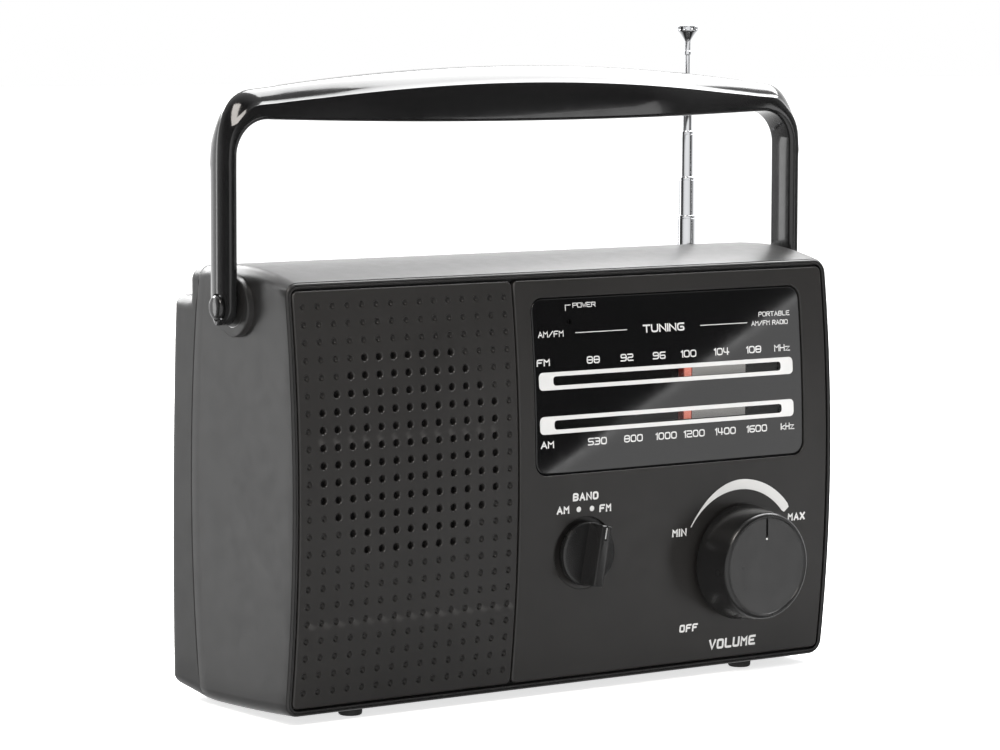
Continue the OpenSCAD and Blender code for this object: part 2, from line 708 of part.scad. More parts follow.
// Conical contact springs, as stacked turns on a plate
module battery_springs() color("#c4c7ca") in_case() for (z = [-54.7, -28.3]) {
    block([bay_x[1] - 0.5, bay_x[1]], [60, 70], [z - 6, z + 6]);
    for (i = [0:4]) translate([bay_x[1] - 0.9 - 0.9 * i, 65, z]) rotate([0, 90, 0])
        rotate_extrude() translate([5 - 0.5 * i, 0]) circle(0.55, $fn = 16);
}

module battery_plates() color("#c4c7ca") in_case() for (z = [-54.7, -28.3]) {
    block([bay_x[0], bay_x[0] + 0.5], [59, 71], [z - 6, z + 6]);
    rod_x(bay_x[0] + 0.5, bay_x[0] + 1.2, 3, 65, z);
}

// ---------------------------------------------------------------- handle

// Front view of the grip between two heights: arched above, nearly flat below
function arch_z(x, top) = top - arch * x * x;
function belly_line(x, bottom) = bottom + 0.00018 * x * x;
module grip_outline(x1, top, bottom) polygon(concat(
    [for (x = [-x1:x1 / 6:x1]) [x, arch_z(x, top)]],
    [for (x = [x1:-x1 / 3:-x1]) [x, belly_line(x, bottom)]]));

module grip_slab(half_t, x1, top) along_y(pivot_y - half_t, pivot_y + half_t)
    grip_outline(x1, top, grip_low_z);

grip_front_z = grip_z - crown_drop;
grip_low_z = grip_front_z - grip_h;
shoulder_x = 110;        // the arms' bend starts here
shoulder_r = arm_x - shoulder_x;
shoulder_z = arch_z(shoulder_x, grip_front_z) - shoulder_r;

// Front view of an arm: straight up from the pivot, then bent over into the grip
module arm_outline(tuck = 8) polygon(concat(
    [[arm_x, pivot_z]],
    arc(shoulder_x, shoulder_z, shoulder_r, 0, 90, 9),
    [[shoulder_x - tuck, shoulder_z + shoulder_r], [shoulder_x - tuck, shoulder_z + shoulder_r - arm_t]],
    arc(shoulder_x, shoulder_z, shoulder_r - arm_t, 90, 0, 9),
    [[arm_x - arm_t, pivot_z]]));

module handle() color("#161617") in_case() difference() {
    union() {
        hull() {
            grip_slab(1, 104, grip_z);
            grip_slab(arm_w / 2, shoulder_x, grip_front_z);
            grip_slab(grip_w / 2, 60, grip_front_z);
        }
        for (s = [0, 1]) mirror([s, 0, 0]) {
            along_y(pivot_y - arm_w / 2, pivot_y + arm_w / 2) arm_outline();
            rod_x(arm_x - arm_t, arm_x, arm_w / 2, pivot_y, pivot_z);
        }
    }
    rod_x(-arm_x - 1, arm_x + 1, pin_r + fit, pivot_y, pivot_z);
}

// Pivot pins: a shank through arm and case, a round cap outside and a nut inside
module handle_pins() color("#202022") in_case() for (s = [-1, 1]) {
    translate([0, pivot_y, pivot_z]) rotate([0, s * 90, 0]) {
        translate([0, 0, half_w - wall - 3]) cylinder(h = arm_x - half_w + wall + 3.3, r = pin_r);
        translate([0, 0, arm_x + 0.3]) cylinder(h = 1, r = 4.2);
        translate([0, 0, half_w - wall - 2.4]) cylinder(h = 2.4, r = 6);
    }
}

// ---------------------------------------------------------------- aerial

module aerial_guide() color("#151516") in_case() difference() {
    rod_z(50, ledge_z + 0.5, 4.2, aerial_x, aerial_y);
    rod_z(40, 80, tube_d[0] / 2 + fit, aerial_x, aerial_y);
}

module aerial_tube(i) color("#d5d8da") in_case() difference() {
    rod_z(tube_top(i) - tube_l(i), tube_top(i), tube_d[i] / 2, aerial_x, aerial_y);
    rod_z(tube_top(i) - tube_l(i) - 1, tube_top(i) + 1, tube_d[i] / 2 - tube_wall, aerial_x, aerial_y);
}

module aerial_tube_1() aerial_tube(0);
module aerial_tube_2() aerial_tube(1);
module aerial_tube_3() aerial_tube(2);
module aerial_tube_4() aerial_tube(3);
module aerial_tube_5() aerial_tube(4);

// Solid rod with a collar and a flared tip
module aerial_rod() color("#d5d8da") in_case() {
    top = tube_top(4) + rod_out;
    rod_z(top - tube_l(5), top, rod_r, aerial_x, aerial_y);
    rod_z(top, top + 5.8, 1.4, aerial_x, aerial_y);
    translate([aerial_x, aerial_y, top + 5.8]) cylinder(h = 3.4, r1 = 1.4, r2 = 4.1);
    rod_z(top + 9.2, top + 11.2, 4.1, aerial_x, aerial_y);
}

front_case();
rear_case();
grille_panel();
control_panel();
speaker_cloth();
dial_lens();
dial_mask();
dial_chassis();
power_led();
pointer_rail();
pointer();
dial_cord();
idler_axle();
idler_top_right();
idler_bottom_right();
idler_top_left();
idler_bottom_left();
tuning_knob();
tuning_shaft();
tuning_bush();
cord_drum();
tuning_capacitor();
volume_knob();
volume_shaft();
volume_pot();
band_knob();
band_shaft();
band_switch();
main_board();
board_screws();
if_cans();
electrolytics();
ferrite_rod();
ferrite_coil();
ferrite_holders();
speaker_basket();
speaker_magnet();
speaker_cone();
dust_cap();
speaker_screws();
transformer_core();
transformer_winding();
mains_inlet();
inlet_pins();
headphone_jack();
battery_tray();
battery_door();
battery_springs();
battery_plates();
handle();
handle_pins();
aerial_guide();
aerial_tube_1();
aerial_tube_2();
aerial_tube_3();
aerial_tube_4();
aerial_tube_5();
aerial_rod();
case_screws();
feet();
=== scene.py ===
import math

import bmesh
import bpy
from mathutils import Matrix, Vector, geometry


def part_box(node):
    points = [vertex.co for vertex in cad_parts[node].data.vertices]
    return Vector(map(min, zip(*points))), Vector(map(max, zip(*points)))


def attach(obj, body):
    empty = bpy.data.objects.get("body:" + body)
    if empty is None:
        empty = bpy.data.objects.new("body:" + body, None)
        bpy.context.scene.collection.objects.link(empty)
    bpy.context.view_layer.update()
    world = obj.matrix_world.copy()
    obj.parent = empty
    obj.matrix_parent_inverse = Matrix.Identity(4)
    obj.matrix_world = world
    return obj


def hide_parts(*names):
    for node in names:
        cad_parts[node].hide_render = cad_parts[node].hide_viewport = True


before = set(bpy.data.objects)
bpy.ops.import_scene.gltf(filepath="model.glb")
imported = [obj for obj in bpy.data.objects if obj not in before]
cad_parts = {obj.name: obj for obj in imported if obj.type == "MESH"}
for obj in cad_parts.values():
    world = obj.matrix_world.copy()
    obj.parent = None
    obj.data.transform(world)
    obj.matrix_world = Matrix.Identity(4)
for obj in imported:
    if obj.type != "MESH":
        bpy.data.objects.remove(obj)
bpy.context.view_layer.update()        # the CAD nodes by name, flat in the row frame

# ---- the frame
# Shapes are drawn in the case frame, in millimetres: x = 0 in the middle of the
# case, y = 0 at the foremost line of the bowed front, z = 0 at mid panel height.
_lo, _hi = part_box("control_panel")
Y0 = _lo.y * 1000
Z0 = (_lo.z + _hi.z) * 500

HALF_W, HALF_H = 119.5, 74.1
PANEL_X, PANEL_Z, PANEL_T = 117.0, 71.5, 2.4
SEAM_X = -25.0
BOW = 530.0
CORNER = 5.0
WALL = 2.2
LENS_X, LENS_Z, LENS_R = (-17.6, 105.8), (2.4, 64.8), 5.0
VOL_X, VOL_Z = 75.5, -35.3
BAND_X, BAND_Z, BAND_TURN = 4.25, -26.6, 10.7
PIVOT_Y, PIVOT_Z = 35.2, 64.6
AERIAL_X, AERIAL_Y = 107.7, 72.9
STEP_Y, LEDGE_Z = 68.5, 66.2
CROWN_Y, CROWN_Z = 38.0, 78.6
BELLY_Y, BELLY_Z = 58.0, -75.9
SEAM_MID, SEAM_BOW = 66.0, 1060.0
REAR_MID, REAR_BOW, REAR_LOW = 82.0, 3280.0, -30.0
CROWN_FALL = 0.0024      # how fast the top drops behind its crown
SOLE_Z = -77.3
SHAFT_HOLE = 3.6
WELL_R, WELL_D = 13.0, 1.0           # recess round the band knob
LED_X, LED_Z, LED_R = -0.9, 56.1, 0.9


def at(p):
    """Case frame, mm, to row frame, m."""
    return (p[0] / 1000, (p[1] + Y0) / 1000, (p[2] + Z0) / 1000)


def face_y(z):
    return BOW - math.sqrt(BOW * BOW - z * z)


def seam_y(z):
    return SEAM_MID - z * z / SEAM_BOW


def rear_y(z):
    return REAR_MID - (z - REAR_LOW) ** 2 / REAR_BOW


FRONT_Y = face_y(HALF_H)


def top_z(y):
    if y < CROWN_Y:
        return CROWN_Z - 4.5 * ((CROWN_Y - y) / (CROWN_Y - FRONT_Y)) ** 2
    return CROWN_Z - CROWN_FALL * (y - CROWN_Y) ** 2


def under_z(y):
    if y < BELLY_Y:
        return BELLY_Z + 1.8 * ((BELLY_Y - y) / (BELLY_Y - FRONT_Y)) ** 2
    return BELLY_Z + 0.15 * (y - BELLY_Y)


def mix(a, b, t):
    return a + (b - a) * t


def ease(t):
    t = min(1.0, max(0.0, t))
    return t * t * (3 - 2 * t)


# ---- mesh building
def ring(x, z, r, nx=1, nz=1, na=6, grow=0.0):
    """Points of a rectangle with round corners, anticlockwise from the lower right."""
    x0, x1, z0, z1 = x[0] - grow, x[1] + grow, z[0] - grow, z[1] + grow
    r = max(0.05, r + grow)
    spots = ((x1 - r, z0 + r, -90), (x1 - r, z1 - r, 0), (x0 + r, z1 - r, 90), (x0 + r, z0 + r, 180))
    out = []
    for i, (cx, cz, a0) in enumerate(spots):
        for k in range(na + 1):
            a = math.radians(a0 + 90 * k / na)
            out.append((cx + r * math.cos(a), cz + r * math.sin(a)))
        n = nz if i % 2 == 0 else nx
        sx, sz = out[-1]
        ex, ez = ((x1, z1 - r), (x0 + r, z1), (x0, z0 + r), (x1 - r, z0))[i]
        for k in range(1, n):
            out.append((mix(sx, ex, k / n), mix(sz, ez, k / n)))
    return out


def circle(cx, cz, r, n=48):
    angles = [2 * math.pi * k / n for k in range(n)]
    return [(cx + r * math.cos(a), cz + r * math.sin(a)) for a in angles]


def inside(poly, x, z):
    hit = False
    for (x0, z0), (x1, z1) in zip(poly, poly[1:] + poly[:1]):
        if (z0 > z) != (z1 > z) and x < x0 + (z - z0) * (x1 - x0) / (z1 - z0):
            hit = not hit
    return hit


class Shape:
    """Vertices in the case frame and faces, gathered before they become a mesh."""

    def __init__(self):
        self.verts, self.faces, self.mats = [], [], []

    def add(self, verts, faces, mat=0):
        k = len(self.verts)
        self.verts += [tuple(v) for v in verts]
        self.faces += [tuple(i + k for i in f) for f in faces]
        self.mats += [mat] * len(faces)
        return self

    def loft(self, rings, wrap=True, close=False, caps=False, mat=0):
        n = len(rings[0])
        verts = [p for r in rings for p in r]
        faces = []
        m = len(rings)
        for i in range(m if close else m - 1):
            j = (i + 1) % m
            for k in range(n if wrap else n - 1):
                k2 = (k + 1) % n
                faces.append((i * n + k, i * n + k2, j * n + k2, j * n + k))
        if caps:
            faces.append(tuple(range(n)))
            faces.append(tuple((m - 1) * n + k for k in range(n)))
        return self.add(verts, faces, mat)

    def fill(self, outer, holes, place, step=None, marked=(), mat=0):
        """Triangles between an outline and its holes. marked outlines are kept as edges, and get mat + 1."""
        loops = [outer] + list(holes) + list(marked)
        pts, edges = [], []
        for loop in loops:
            k, n = len(pts), len(loop)
            pts += [Vector(p) for p in loop]
            edges += [(k + i, k + (i + 1) % n) for i in range(n)]
        if step:
            xs, zs = [p[0] for p in outer], [p[1] for p in outer]
            edge_pts = [p.copy() for p in pts]
            nx = max(1, round((max(xs) - min(xs)) / step[0]))
            nz = max(1, round((max(zs) - min(zs)) / step[1]))
            for i in range(1, nx):
                for j in range(1, nz):
                    p = Vector((mix(min(xs), max(xs), i / nx), mix(min(zs), max(zs), j / nz)))
                    if inside(outer, *p) and not any(inside(h, *p) for h in holes):
                        if min((p - q).length_squared for q in edge_pts) > 0.8:
                            pts.append(p)
        res = geometry.delaunay_2d_cdt(pts, edges, [], 0, 1e-6)
        verts = [place(v.x, v.y) for v in res[0]]
        plain, other = [], []
        for f in res[2]:
            cx = sum(res[0][i].x for i in f) / len(f)
            cz = sum(res[0][i].y for i in f) / len(f)
            if inside(outer, cx, cz) and not any(inside(h, cx, cz) for h in holes):
                (other if any(inside(m, cx, cz) for m in marked) else plain).append(f)
        self.add(verts, plain, mat)
        if other:
            self.add(verts, other, mat + 1)
        return self

    def turn(self, profile, centre, axis="y", n=64, close=True, mat=0, radius=None):
        """A profile of (radius, height) points turned about an axis. Points at radius 0 close it."""
        rings = []
        for r, h in profile:
            row = []
            for k in range(n):
                a = 2 * math.pi * k / n
                rr = radius(r, h, a) if radius else r
                c, s = rr * math.cos(a), rr * math.sin(a)
                cx, cy, cz = centre
                row.append({"x": (cx + h, cy + c, cz + s), "y": (cx + c, cy + h, cz + s),
                            "z": (cx + c, cy + s, cz + h)}[axis])
            rings.append(row)
        return self.loft(rings, close=close, mat=mat)


def make(shape, name):
    mesh = bpy.data.meshes.new(name)
    mesh.from_pydata([at(v) for v in shape.verts], [], shape.faces)
    mesh.polygons.foreach_set("material_index", shape.mats)
    bm = bmesh.new()
    bm.from_mesh(mesh)
    bmesh.ops.remove_doubles(bm, verts=bm.verts, dist=1e-6)
    bmesh.ops.dissolve_degenerate(bm, dist=1e-7, edges=bm.edges)
    bmesh.ops.recalc_face_normals(bm, faces=bm.faces)
    bm.to_mesh(mesh)
    bm.free()
    obj = bpy.data.objects.new(name, mesh)
    bpy.context.scene.collection.objects.link(obj)
    return obj


def applied(obj):
    """Bakes the object's modifiers into its mesh."""
    bpy.context.view_layer.update()
    dg = bpy.context.evaluated_depsgraph_get()
    mesh = bpy.data.meshes.new_from_object(obj.evaluated_get(dg))
    obj.modifiers.clear()
    obj.data = mesh
    return obj


def cut(obj, *cutters):
    for c in cutters:
        m = obj.modifiers.new("cut", "BOOLEAN")
        m.operation, m.solver, m.object = "DIFFERENCE", "EXACT", c
    applied(obj)
    for c in cutters:
        bpy.data.objects.remove(c)
    return obj


def dress(obj, mats, body, replaces=(), angle=30, bow=None):
    """Materials, smooth shading, body and the CAD nodes that the piece stands for."""
    mesh = obj.data
    for i, m in enumerate(mats if isinstance(mats, (list, tuple)) else [mats]):
        if i < len(mesh.materials):
            mesh.materials[i] = m
        else:
            mesh.materials.append(m)
    mesh.shade_smooth()
    mesh.set_sharp_from_angle(angle=math.radians(angle))
    if bow is not None:
        normals = [(0.0, 0.0, 0.0)] * len(mesh.loops)
        for p in mesh.polygons:
            z = p.center.z * 1000 - Z0
            n = Vector((0, -math.sqrt(BOW * BOW - z * z), z)).normalized()
            if p.normal.dot(n) > 0.9985:
                for li in p.loop_indices:
                    z = mesh.vertices[mesh.loops[li].vertex_index].co.z * 1000 - Z0
                    normals[li] = tuple(Vector((0, -math.sqrt(BOW * BOW - z * z), z)).normalized())
        mesh.normals_split_custom_set(normals)
    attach(obj, body)
    if replaces:
        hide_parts(*replaces)
    return obj


# ---- materials
def nodes_of(mat):
    mat.use_nodes = True
    nt = mat.node_tree
    nt.nodes.clear()
    return nt, nt.nodes, nt.links


def put(node, values):
    for socket, value in values.items():
        node.inputs[socket].default_value = value


def set_ramp(node, stops):
    el = node.color_ramp.elements
    while len(el) > len(stops):
        el.remove(el[-1])
    while len(el) < len(stops):
        el.new(1)
    for e, (pos, col) in zip(el, stops):
        e.position = pos
        e.color = (*col, 1)


def surface(name, base, rough=0.4, rough_vary=0.025, vary=0.12, cloud=18, grain=1400, bump=0.15,
            depth=0.00005, metallic=0.0, coat=0.0, wear=0.0, stretch=(1, 1, 1), emission=None, alpha=1.0):
    """Moulded plastic, metal, ink or rubber: cloudy colour, fine grain, worn edges, uneven gloss."""
    mat = bpy.data.materials.new(name)
    nt, N, L = nodes_of(mat)
    out = N.new("ShaderNodeOutputMaterial")
    sh = N.new("ShaderNodeBsdfPrincipled")
    L.new(sh.outputs[0], out.inputs[0])
    put(sh, {"Metallic": metallic, "IOR": 1.5, "Specular IOR Level": 0.5, "Coat Weight": coat,
             "Coat Roughness": 0.05, "Alpha": alpha})
    tc = N.new("ShaderNodeTexCoord")
    mp = N.new("ShaderNodeMapping")
    put(mp, {"Scale": stretch})
    L.new(tc.outputs["Object"], mp.inputs[0])

    def noise(scale, detail):
        n = N.new("ShaderNodeTexNoise")
        put(n, {"Scale": scale, "Detail": detail})
        L.new(mp.outputs[0], n.inputs["Vector"])
        return n

    big = noise(cloud, 4)
    ramp = N.new("ShaderNodeValToRGB")
    lo = tuple(c * (1 - vary) for c in base)
    hi = tuple(min(1, c * (1 + vary)) for c in base)
    set_ramp(ramp, [(0.3, lo), (0.7, hi)])
    L.new(big.outputs["Fac"], ramp.inputs[0])
    colour = ramp.outputs[0]
    if wear:
        geo = N.new("ShaderNodeNewGeometry")
        edge = N.new("ShaderNodeMapRange")
        put(edge, {"From Min": 0.53, "From Max": 0.62, "To Max": wear})
        L.new(geo.outputs["Pointiness"], edge.inputs["Value"])
        mx = N.new("ShaderNodeMixRGB")
        L.new(edge.outputs[0], mx.inputs[0])
        L.new(colour, mx.inputs[1])
        mx.inputs[2].default_value = (*(min(1, c * 2.2 + 0.02) for c in base), 1)
        colour = mx.outputs[0]
    L.new(colour, sh.inputs["Base Color"])
    mid = noise(cloud * 9, 5)
    rr = N.new("ShaderNodeMapRange")
    put(rr, {"To Min": max(0.01, rough - rough_vary), "To Max": min(1, rough + rough_vary),
             "From Min": 0.3, "From Max": 0.7})
    L.new(mid.outputs["Fac"], rr.inputs["Value"])
    L.new(rr.outputs[0], sh.inputs["Roughness"])
    if bump:
        fine = noise(grain, 2)
        bp = N.new("ShaderNodeBump")
        put(bp, {"Strength": bump, "Distance": depth})
        L.new(fine.outputs["Fac"], bp.inputs["Height"])
        L.new(bp.outputs[0], sh.inputs["Normal"])
    if emission:
        put(sh, {"Emission Color": (*emission[0], 1), "Emission Strength": emission[1]})
    return mat


M = {
    "case": surface("case_black", (0.013, 0.0127, 0.0125), 0.33, grain=2600, bump=0.35, depth=0.00006,
        wear=0.45),
    "rear": surface("case_black_rear", (0.011, 0.0109, 0.0107), 0.38, grain=2600, bump=0.35, depth=0.00006,
        wear=0.2),
    "panel": surface("panel_black", (0.0165, 0.0154, 0.0146), 0.35, grain=3200, bump=0.2, depth=0.00004,
        wear=0.45),
    "knob": surface("knob_black", (0.009, 0.0089, 0.0089), 0.25, coat=0.12, grain=2400, bump=0.18,
        depth=0.00004, wear=0.2),
    "gloss": surface("handle_gloss_black", (0.008, 0.008, 0.0082), 0.13, 0.04, grain=240, bump=0.03,
        depth=0.00006,
                     coat=0.4, wear=0.1),
    "lens": surface("lens_black", (0.004, 0.004, 0.0042), 0.045, 0.01, grain=120, bump=0.02, depth=0.00003),
    "window": surface("lens_window", (0.01, 0.01, 0.01), 0.045, 0.01, grain=120, bump=0.02, depth=0.00003,
        alpha=0.25),
    "ink": surface("white_ink", (0.62, 0.62, 0.61), 0.42, vary=0.04, grain=2200, bump=0.15),
    "dial_ink": surface("white_back_print", (0.58, 0.58, 0.575), 0.1, 0.02, vary=0.04, grain=300, bump=0.03),
    "chrome": surface("bright_chrome", (0.82, 0.83, 0.85), 0.07, 0.03, vary=0.03, grain=900, bump=0.04,
        metallic=1.0),
    "steel": surface("zinc_steel", (0.55, 0.56, 0.57), 0.3, 0.1, vary=0.1, grain=1200, bump=0.2,
        metallic=1.0),
    "rubber": surface("foot_rubber", (0.016, 0.016, 0.016), 0.75, 0.1, vary=0.2, grain=900, bump=0.5),
    "cloth": surface("speaker_cloth", (0.004, 0.004, 0.004), 0.95, 0.04, vary=0.3, grain=1600, bump=0.8,
        depth=0.0002),
    "mask": surface("mask_black", (0.003, 0.003, 0.003), 0.3, vary=0.2),
    "inner": surface("inner_grey", (0.03, 0.03, 0.031), 0.55, vary=0.2, grain=1500, bump=0.3),
    # Painted glow: the dark window leaves these three too dim, so each gives a little light of its own,
    # though none is a lamp
    "needle": surface("needle_red", (0.5, 0.06, 0.04), 0.35, vary=0.08, emission=((0.8, 0.08, 0.05), 0.07)),
    "needle_face": surface("needle_face_red_painted_glow", (0.85, 0.3, 0.22), 0.35, vary=0.08,
        emission=((1.0, 0.3, 0.22), 0.9)),
    "strip": surface("scale_strip_grey_painted_glow", (0.5, 0.49, 0.47), 0.5, vary=0.12,
        emission=((0.5, 0.49, 0.47), 0.55)),
    "led": surface("lamp_red", (0.35, 0.02, 0.015), 0.25, vary=0.1),
    "nylon": surface("natural_nylon", (0.6, 0.58, 0.5), 0.45, vary=0.08, grain=900, bump=0.2),
    "cord": surface("dial_cord", (0.5, 0.42, 0.28), 0.8, vary=0.2, grain=2600, bump=0.9, depth=0.0002),
    "board": surface("phenolic_board", (0.24, 0.13, 0.05), 0.6, vary=0.2, grain=700, bump=0.4,
        stretch=(1, 1, 3)),
    "tin": surface("tinned_can", (0.6, 0.61, 0.62), 0.32, 0.1, grain=1200, bump=0.25, metallic=1.0,
        stretch=(1, 1, 6)),
    "sleeve": surface("capacitor_sleeve", (0.03, 0.06, 0.16), 0.3, vary=0.1),
    "ferrite": surface("ferrite", (0.045, 0.042, 0.04), 0.7, vary=0.25, grain=900, bump=0.6, depth=0.0002),
    "copper": surface("copper_wire", (0.6, 0.27, 0.1), 0.3, vary=0.15, grain=1800, bump=0.8, depth=0.0002,
        metallic=0.9,
                      stretch=(8, 1, 1)),
    "paper": surface("cone_paper", (0.02, 0.02, 0.02), 0.9, vary=0.25, grain=700, bump=0.7, depth=0.0003),
    "core": surface("core_steel", (0.18, 0.18, 0.18), 0.5, 0.12, vary=0.2, grain=500, bump=0.6, metallic=0.8,
                    stretch=(1, 8, 1)),
    "socket": surface("socket_black", (0.01, 0.01, 0.01), 0.3, vary=0.2, grain=900, bump=0.15, wear=0.15),
}

# CAD nodes that keep their shape
CARRIED = {
    "speaker_cloth": "cloth", "dial_mask": "mask", "dial_chassis": "inner", "power_led": "led",
    "pointer_rail": "steel", "pointer": "needle", "dial_cord": "cord", "idler_axle": "steel",
    "idler_top_right": "nylon", "idler_bottom_right": "nylon", "idler_top_left": "nylon",
    "idler_bottom_left": "nylon", "tuning_knob": "knob", "tuning_shaft": "steel", "tuning_bush": "nylon",
    "cord_drum": "nylon", "tuning_capacitor": "nylon", "volume_shaft": "steel", "volume_pot": "board",
    "band_shaft": "steel", "band_switch": "tin", "main_board": "board", "board_screws": "steel",
    "if_cans": "tin", "electrolytics": "sleeve", "ferrite_rod": "ferrite", "ferrite_coil": "copper",
    "ferrite_holders": "nylon", "speaker_basket": "tin", "speaker_magnet": "ferrite", "speaker_cone": "paper",
    "dust_cap": "paper", "speaker_screws": "steel", "transformer_core": "core",
    "transformer_winding": "copper", "mains_inlet": "socket", "inlet_pins": "steel",
    "headphone_jack": "socket", "battery_tray": "inner", "battery_springs": "steel",
    "battery_plates": "steel", "aerial_guide": "socket", "case_screws": "steel",
}
for node_name, key in CARRIED.items():
    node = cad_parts[node_name]
    if not node.material_slots:
        node.data.materials.append(M[key])
    for s in node.material_slots:
        s.material = M[key]


# ---- front shell
NX, NZ, NA = 24, 24, 8


def front_ring(d, h):
    """The front outline, d in from the skin and h behind the bow."""
    pts = ring((-HALF_W, HALF_W), (-HALF_H, HALF_H), CORNER, NX, NZ, NA, grow=-d)
    return [(x, face_y(z) + h, z) for x, z in pts]


def skin_ring(s, inset, extra=0.0):
    """The skin at share s of the way from the front lip to the seam."""
    y_top = mix(face_y(HALF_H) + 0.8, seam_y(77), s) + extra
    y_low = mix(face_y(HALF_H) + 0.8, seam_y(75), s) + extra
    z1, z0 = top_z(y_top), under_z(y_low)
    pts = ring((-HALF_W, HALF_W), (z0, z1), CORNER, NX, NZ, NA, grow=-inset)
    mid = HALF_H - 0.5
    out = []
    for x, z in pts:
        zz = max(-mid, min(mid, z))
        out.append((x, mix(face_y(zz) + 0.8, seam_y(z), s) + extra, z))
    return out


shell = Shape()
lip = [front_ring(0.8 - 0.8 * math.cos(a), 0.8 - 0.8 * math.sin(a))
       for a in (math.radians(v) for v in (12, 30, 48, 66, 90))]
groove = [front_ring(d, h) for d, h in (
    (0.88, 0.03), (1.0, 0.42), (1.12, 0.05), (1.2, 0.0), (1.65, 0.0), (1.78, 0.06), (1.85, 0.2),
    (1.85, 2.4), (6.5, 2.4), (6.5, 4.4))]
skin = [skin_ring(s, 0) for s in (0.0, 0.08, 0.18, 0.3, 0.42, 0.54, 0.66, 0.78, 0.9)]
rim = [skin_ring(1, 0, -0.5), skin_ring(1, 0.12, -0.22), skin_ring(1, 0.45, 0), skin_ring(1, WALL, 0)]
inner = [skin_ring(s, WALL) for s in (0.8, 0.6, 0.4, 0.2, 0.12)]
shell.loft(list(reversed(lip + groove)) + skin + rim + inner, close=True)
front = make(shell, "front_shell")


def drill(centre, axis, r, h0, h1, n=40):
    """A plain cutter cylinder."""
    c = Shape().turn([(r, h0), (r, h1)], centre, axis, n, close=False)
    c.faces += [tuple(range(n)), tuple(range(n, 2 * n))]
    c.mats += [0, 0]
    return make(c, "cutter")


def block_cutter(x, y, z):
    v = [(a, b, c) for a in x for b in y for c in z]
    return make(Shape().add(v, [(0, 1, 3, 2), (4, 6, 7, 5), (0, 4, 5, 1), (2, 3, 7, 6), (0, 2, 6, 4),
        (1, 5, 7, 3)]),
                "cutter")


cut(front, drill((0, 42, -30), "x", 4.05, 110, 125), drill((0, 40, 20), "x", 5.55, 110, 125))
dress(front, M["case"], "case", ["front_case"], angle=24)

# Bar behind the seam of the two panels
bar = Shape()
bar.loft([[(x, face_y(z) + h, z)
           for x, h in ((SEAM_X - 2, 2.4), (SEAM_X + 2, 2.4), (SEAM_X + 2, 4.4), (SEAM_X - 2, 4.4))]
          for z in [mix(-69, 69, k / 24) for k in range(25)]], caps=True)
dress(make(bar, "panel_bar"), M["case"], "case")

# Discs round the handle pivots
for side, tag in ((-1, "left"), (1, "right")):
    disc = Shape().turn([(3.4, side * 119.3), (10.5, side * 119.3), (10.5, side * 121.3),
        (10.38, side * 121.65),
                         (10.1, side * 121.88), (9.7, side * 121.95), (7.2, side * 121.95),
                         (6.9, side * 121.75),
                         (3.4, side * 121.75)], (0, PIVOT_Y, PIVOT_Z), "x", 72)
    dress(make(disc, "pivot_disc_" + tag), M["case"], "case", angle=24)

# ---- rear shell
STEP_R, LEDGE_R, FOOT_R = 5.0, 3.0, 4.0


def rear_profile(t):
    """Outline in (y, z) behind the seam, from the top of the seam round to its foot, t inside the skin."""
    out = []

    def along(y, z, ny, nz):
        out.append((y - ny * t, z - nz * t))

    def turn(cy, cz, r, a0, a1, n):
        for k in range(n + 1):
            a = math.radians(mix(a0, a1, k / n))
            if r > t:
                out.append((cy + (r - t) * math.cos(a), cz + (r - t) * math.sin(a)))
            else:
                out.append((cy + (r - t), cz + (r - t) * (1 if a1 >= 0 else -1)))

    y_seam = seam_y(top_z(60.5))
    for k in range(3):
        y = mix(y_seam + 0.35, STEP_Y - STEP_R + 0.35, k / 3)
        slope = 2 * CROWN_FALL * (y - CROWN_Y)
        n = math.hypot(slope, 1)
        along(y, top_z(y), slope / n, 1 / n)
    turn(STEP_Y - STEP_R, top_z(STEP_Y - STEP_R) - STEP_R, STEP_R, 80, 0, 7)
    along(STEP_Y, 68.2, 1, 0)
    along(STEP_Y, LEDGE_Z + 0.6, 1, 0)
    out.append((STEP_Y + 0.18 - t, LEDGE_Z + 0.18 - t))
    along(STEP_Y + 0.6, LEDGE_Z, 0, 1)
    along(STEP_Y + 4, LEDGE_Z, 0, 1)
    turn(rear_y(LEDGE_Z) - LEDGE_R, LEDGE_Z - LEDGE_R, LEDGE_R, 90, 3, 7)
    for z in (50, 36, 22, 8, -6, -20, -34, -48, -60):
        slope = (z - REAR_LOW) / (REAR_BOW / 2)
        n = math.hypot(1, slope)
        along(rear_y(z), z, 1 / n, slope / n)
    turn(rear_y(-69) - FOOT_R, -69, FOOT_R, 0, -81, 6)
    y_foot = seam_y(75)
    y1 = rear_y(-69) - FOOT_R
    for k in range(1, 4):
        y = mix(y1, y_foot + 0.35, k / 3)
        along(y, under_z(y), 0, -1)
    return out


def rear_ring(x, t):
    """The rear profile at x, t inside the skin."""
    return [(x, y, z) for y, z in rear_profile(t)]


end_angles = [math.radians(a) for a in range(0, 91, 15)]
ends = [(CORNER * (1 - math.cos(a)), CORNER * (1 - math.sin(a))) for a in end_angles]
stations = [(-HALF_W + dx, t) for dx, t in ends] + [(HALF_W - dx, t) for dx, t in reversed(ends)]
rings = [rear_ring(x, t) for x, t in stations]
back = Shape().loft(rings, wrap=False)
seam_top, seam_low = rings[0][0], rings[0][-1]
side_curve = [(seam_y(z) + 0.35, z) for z in [mix(seam_low[2], seam_top[2], k / 16) for k in range(1, 16)]]
for r in (rings[0], rings[-1]):
    x = r[0][0]
    loop = [(p[1], p[2]) for p in r] + side_curve
    back.fill(loop, [], lambda a, b, x=x: (x, a, b))
rear = make(back, "rear_shell")
bm = bmesh.new()
bm.from_mesh(rear.data)
seam_edges = [e for e in bm.edges if e.is_boundary]
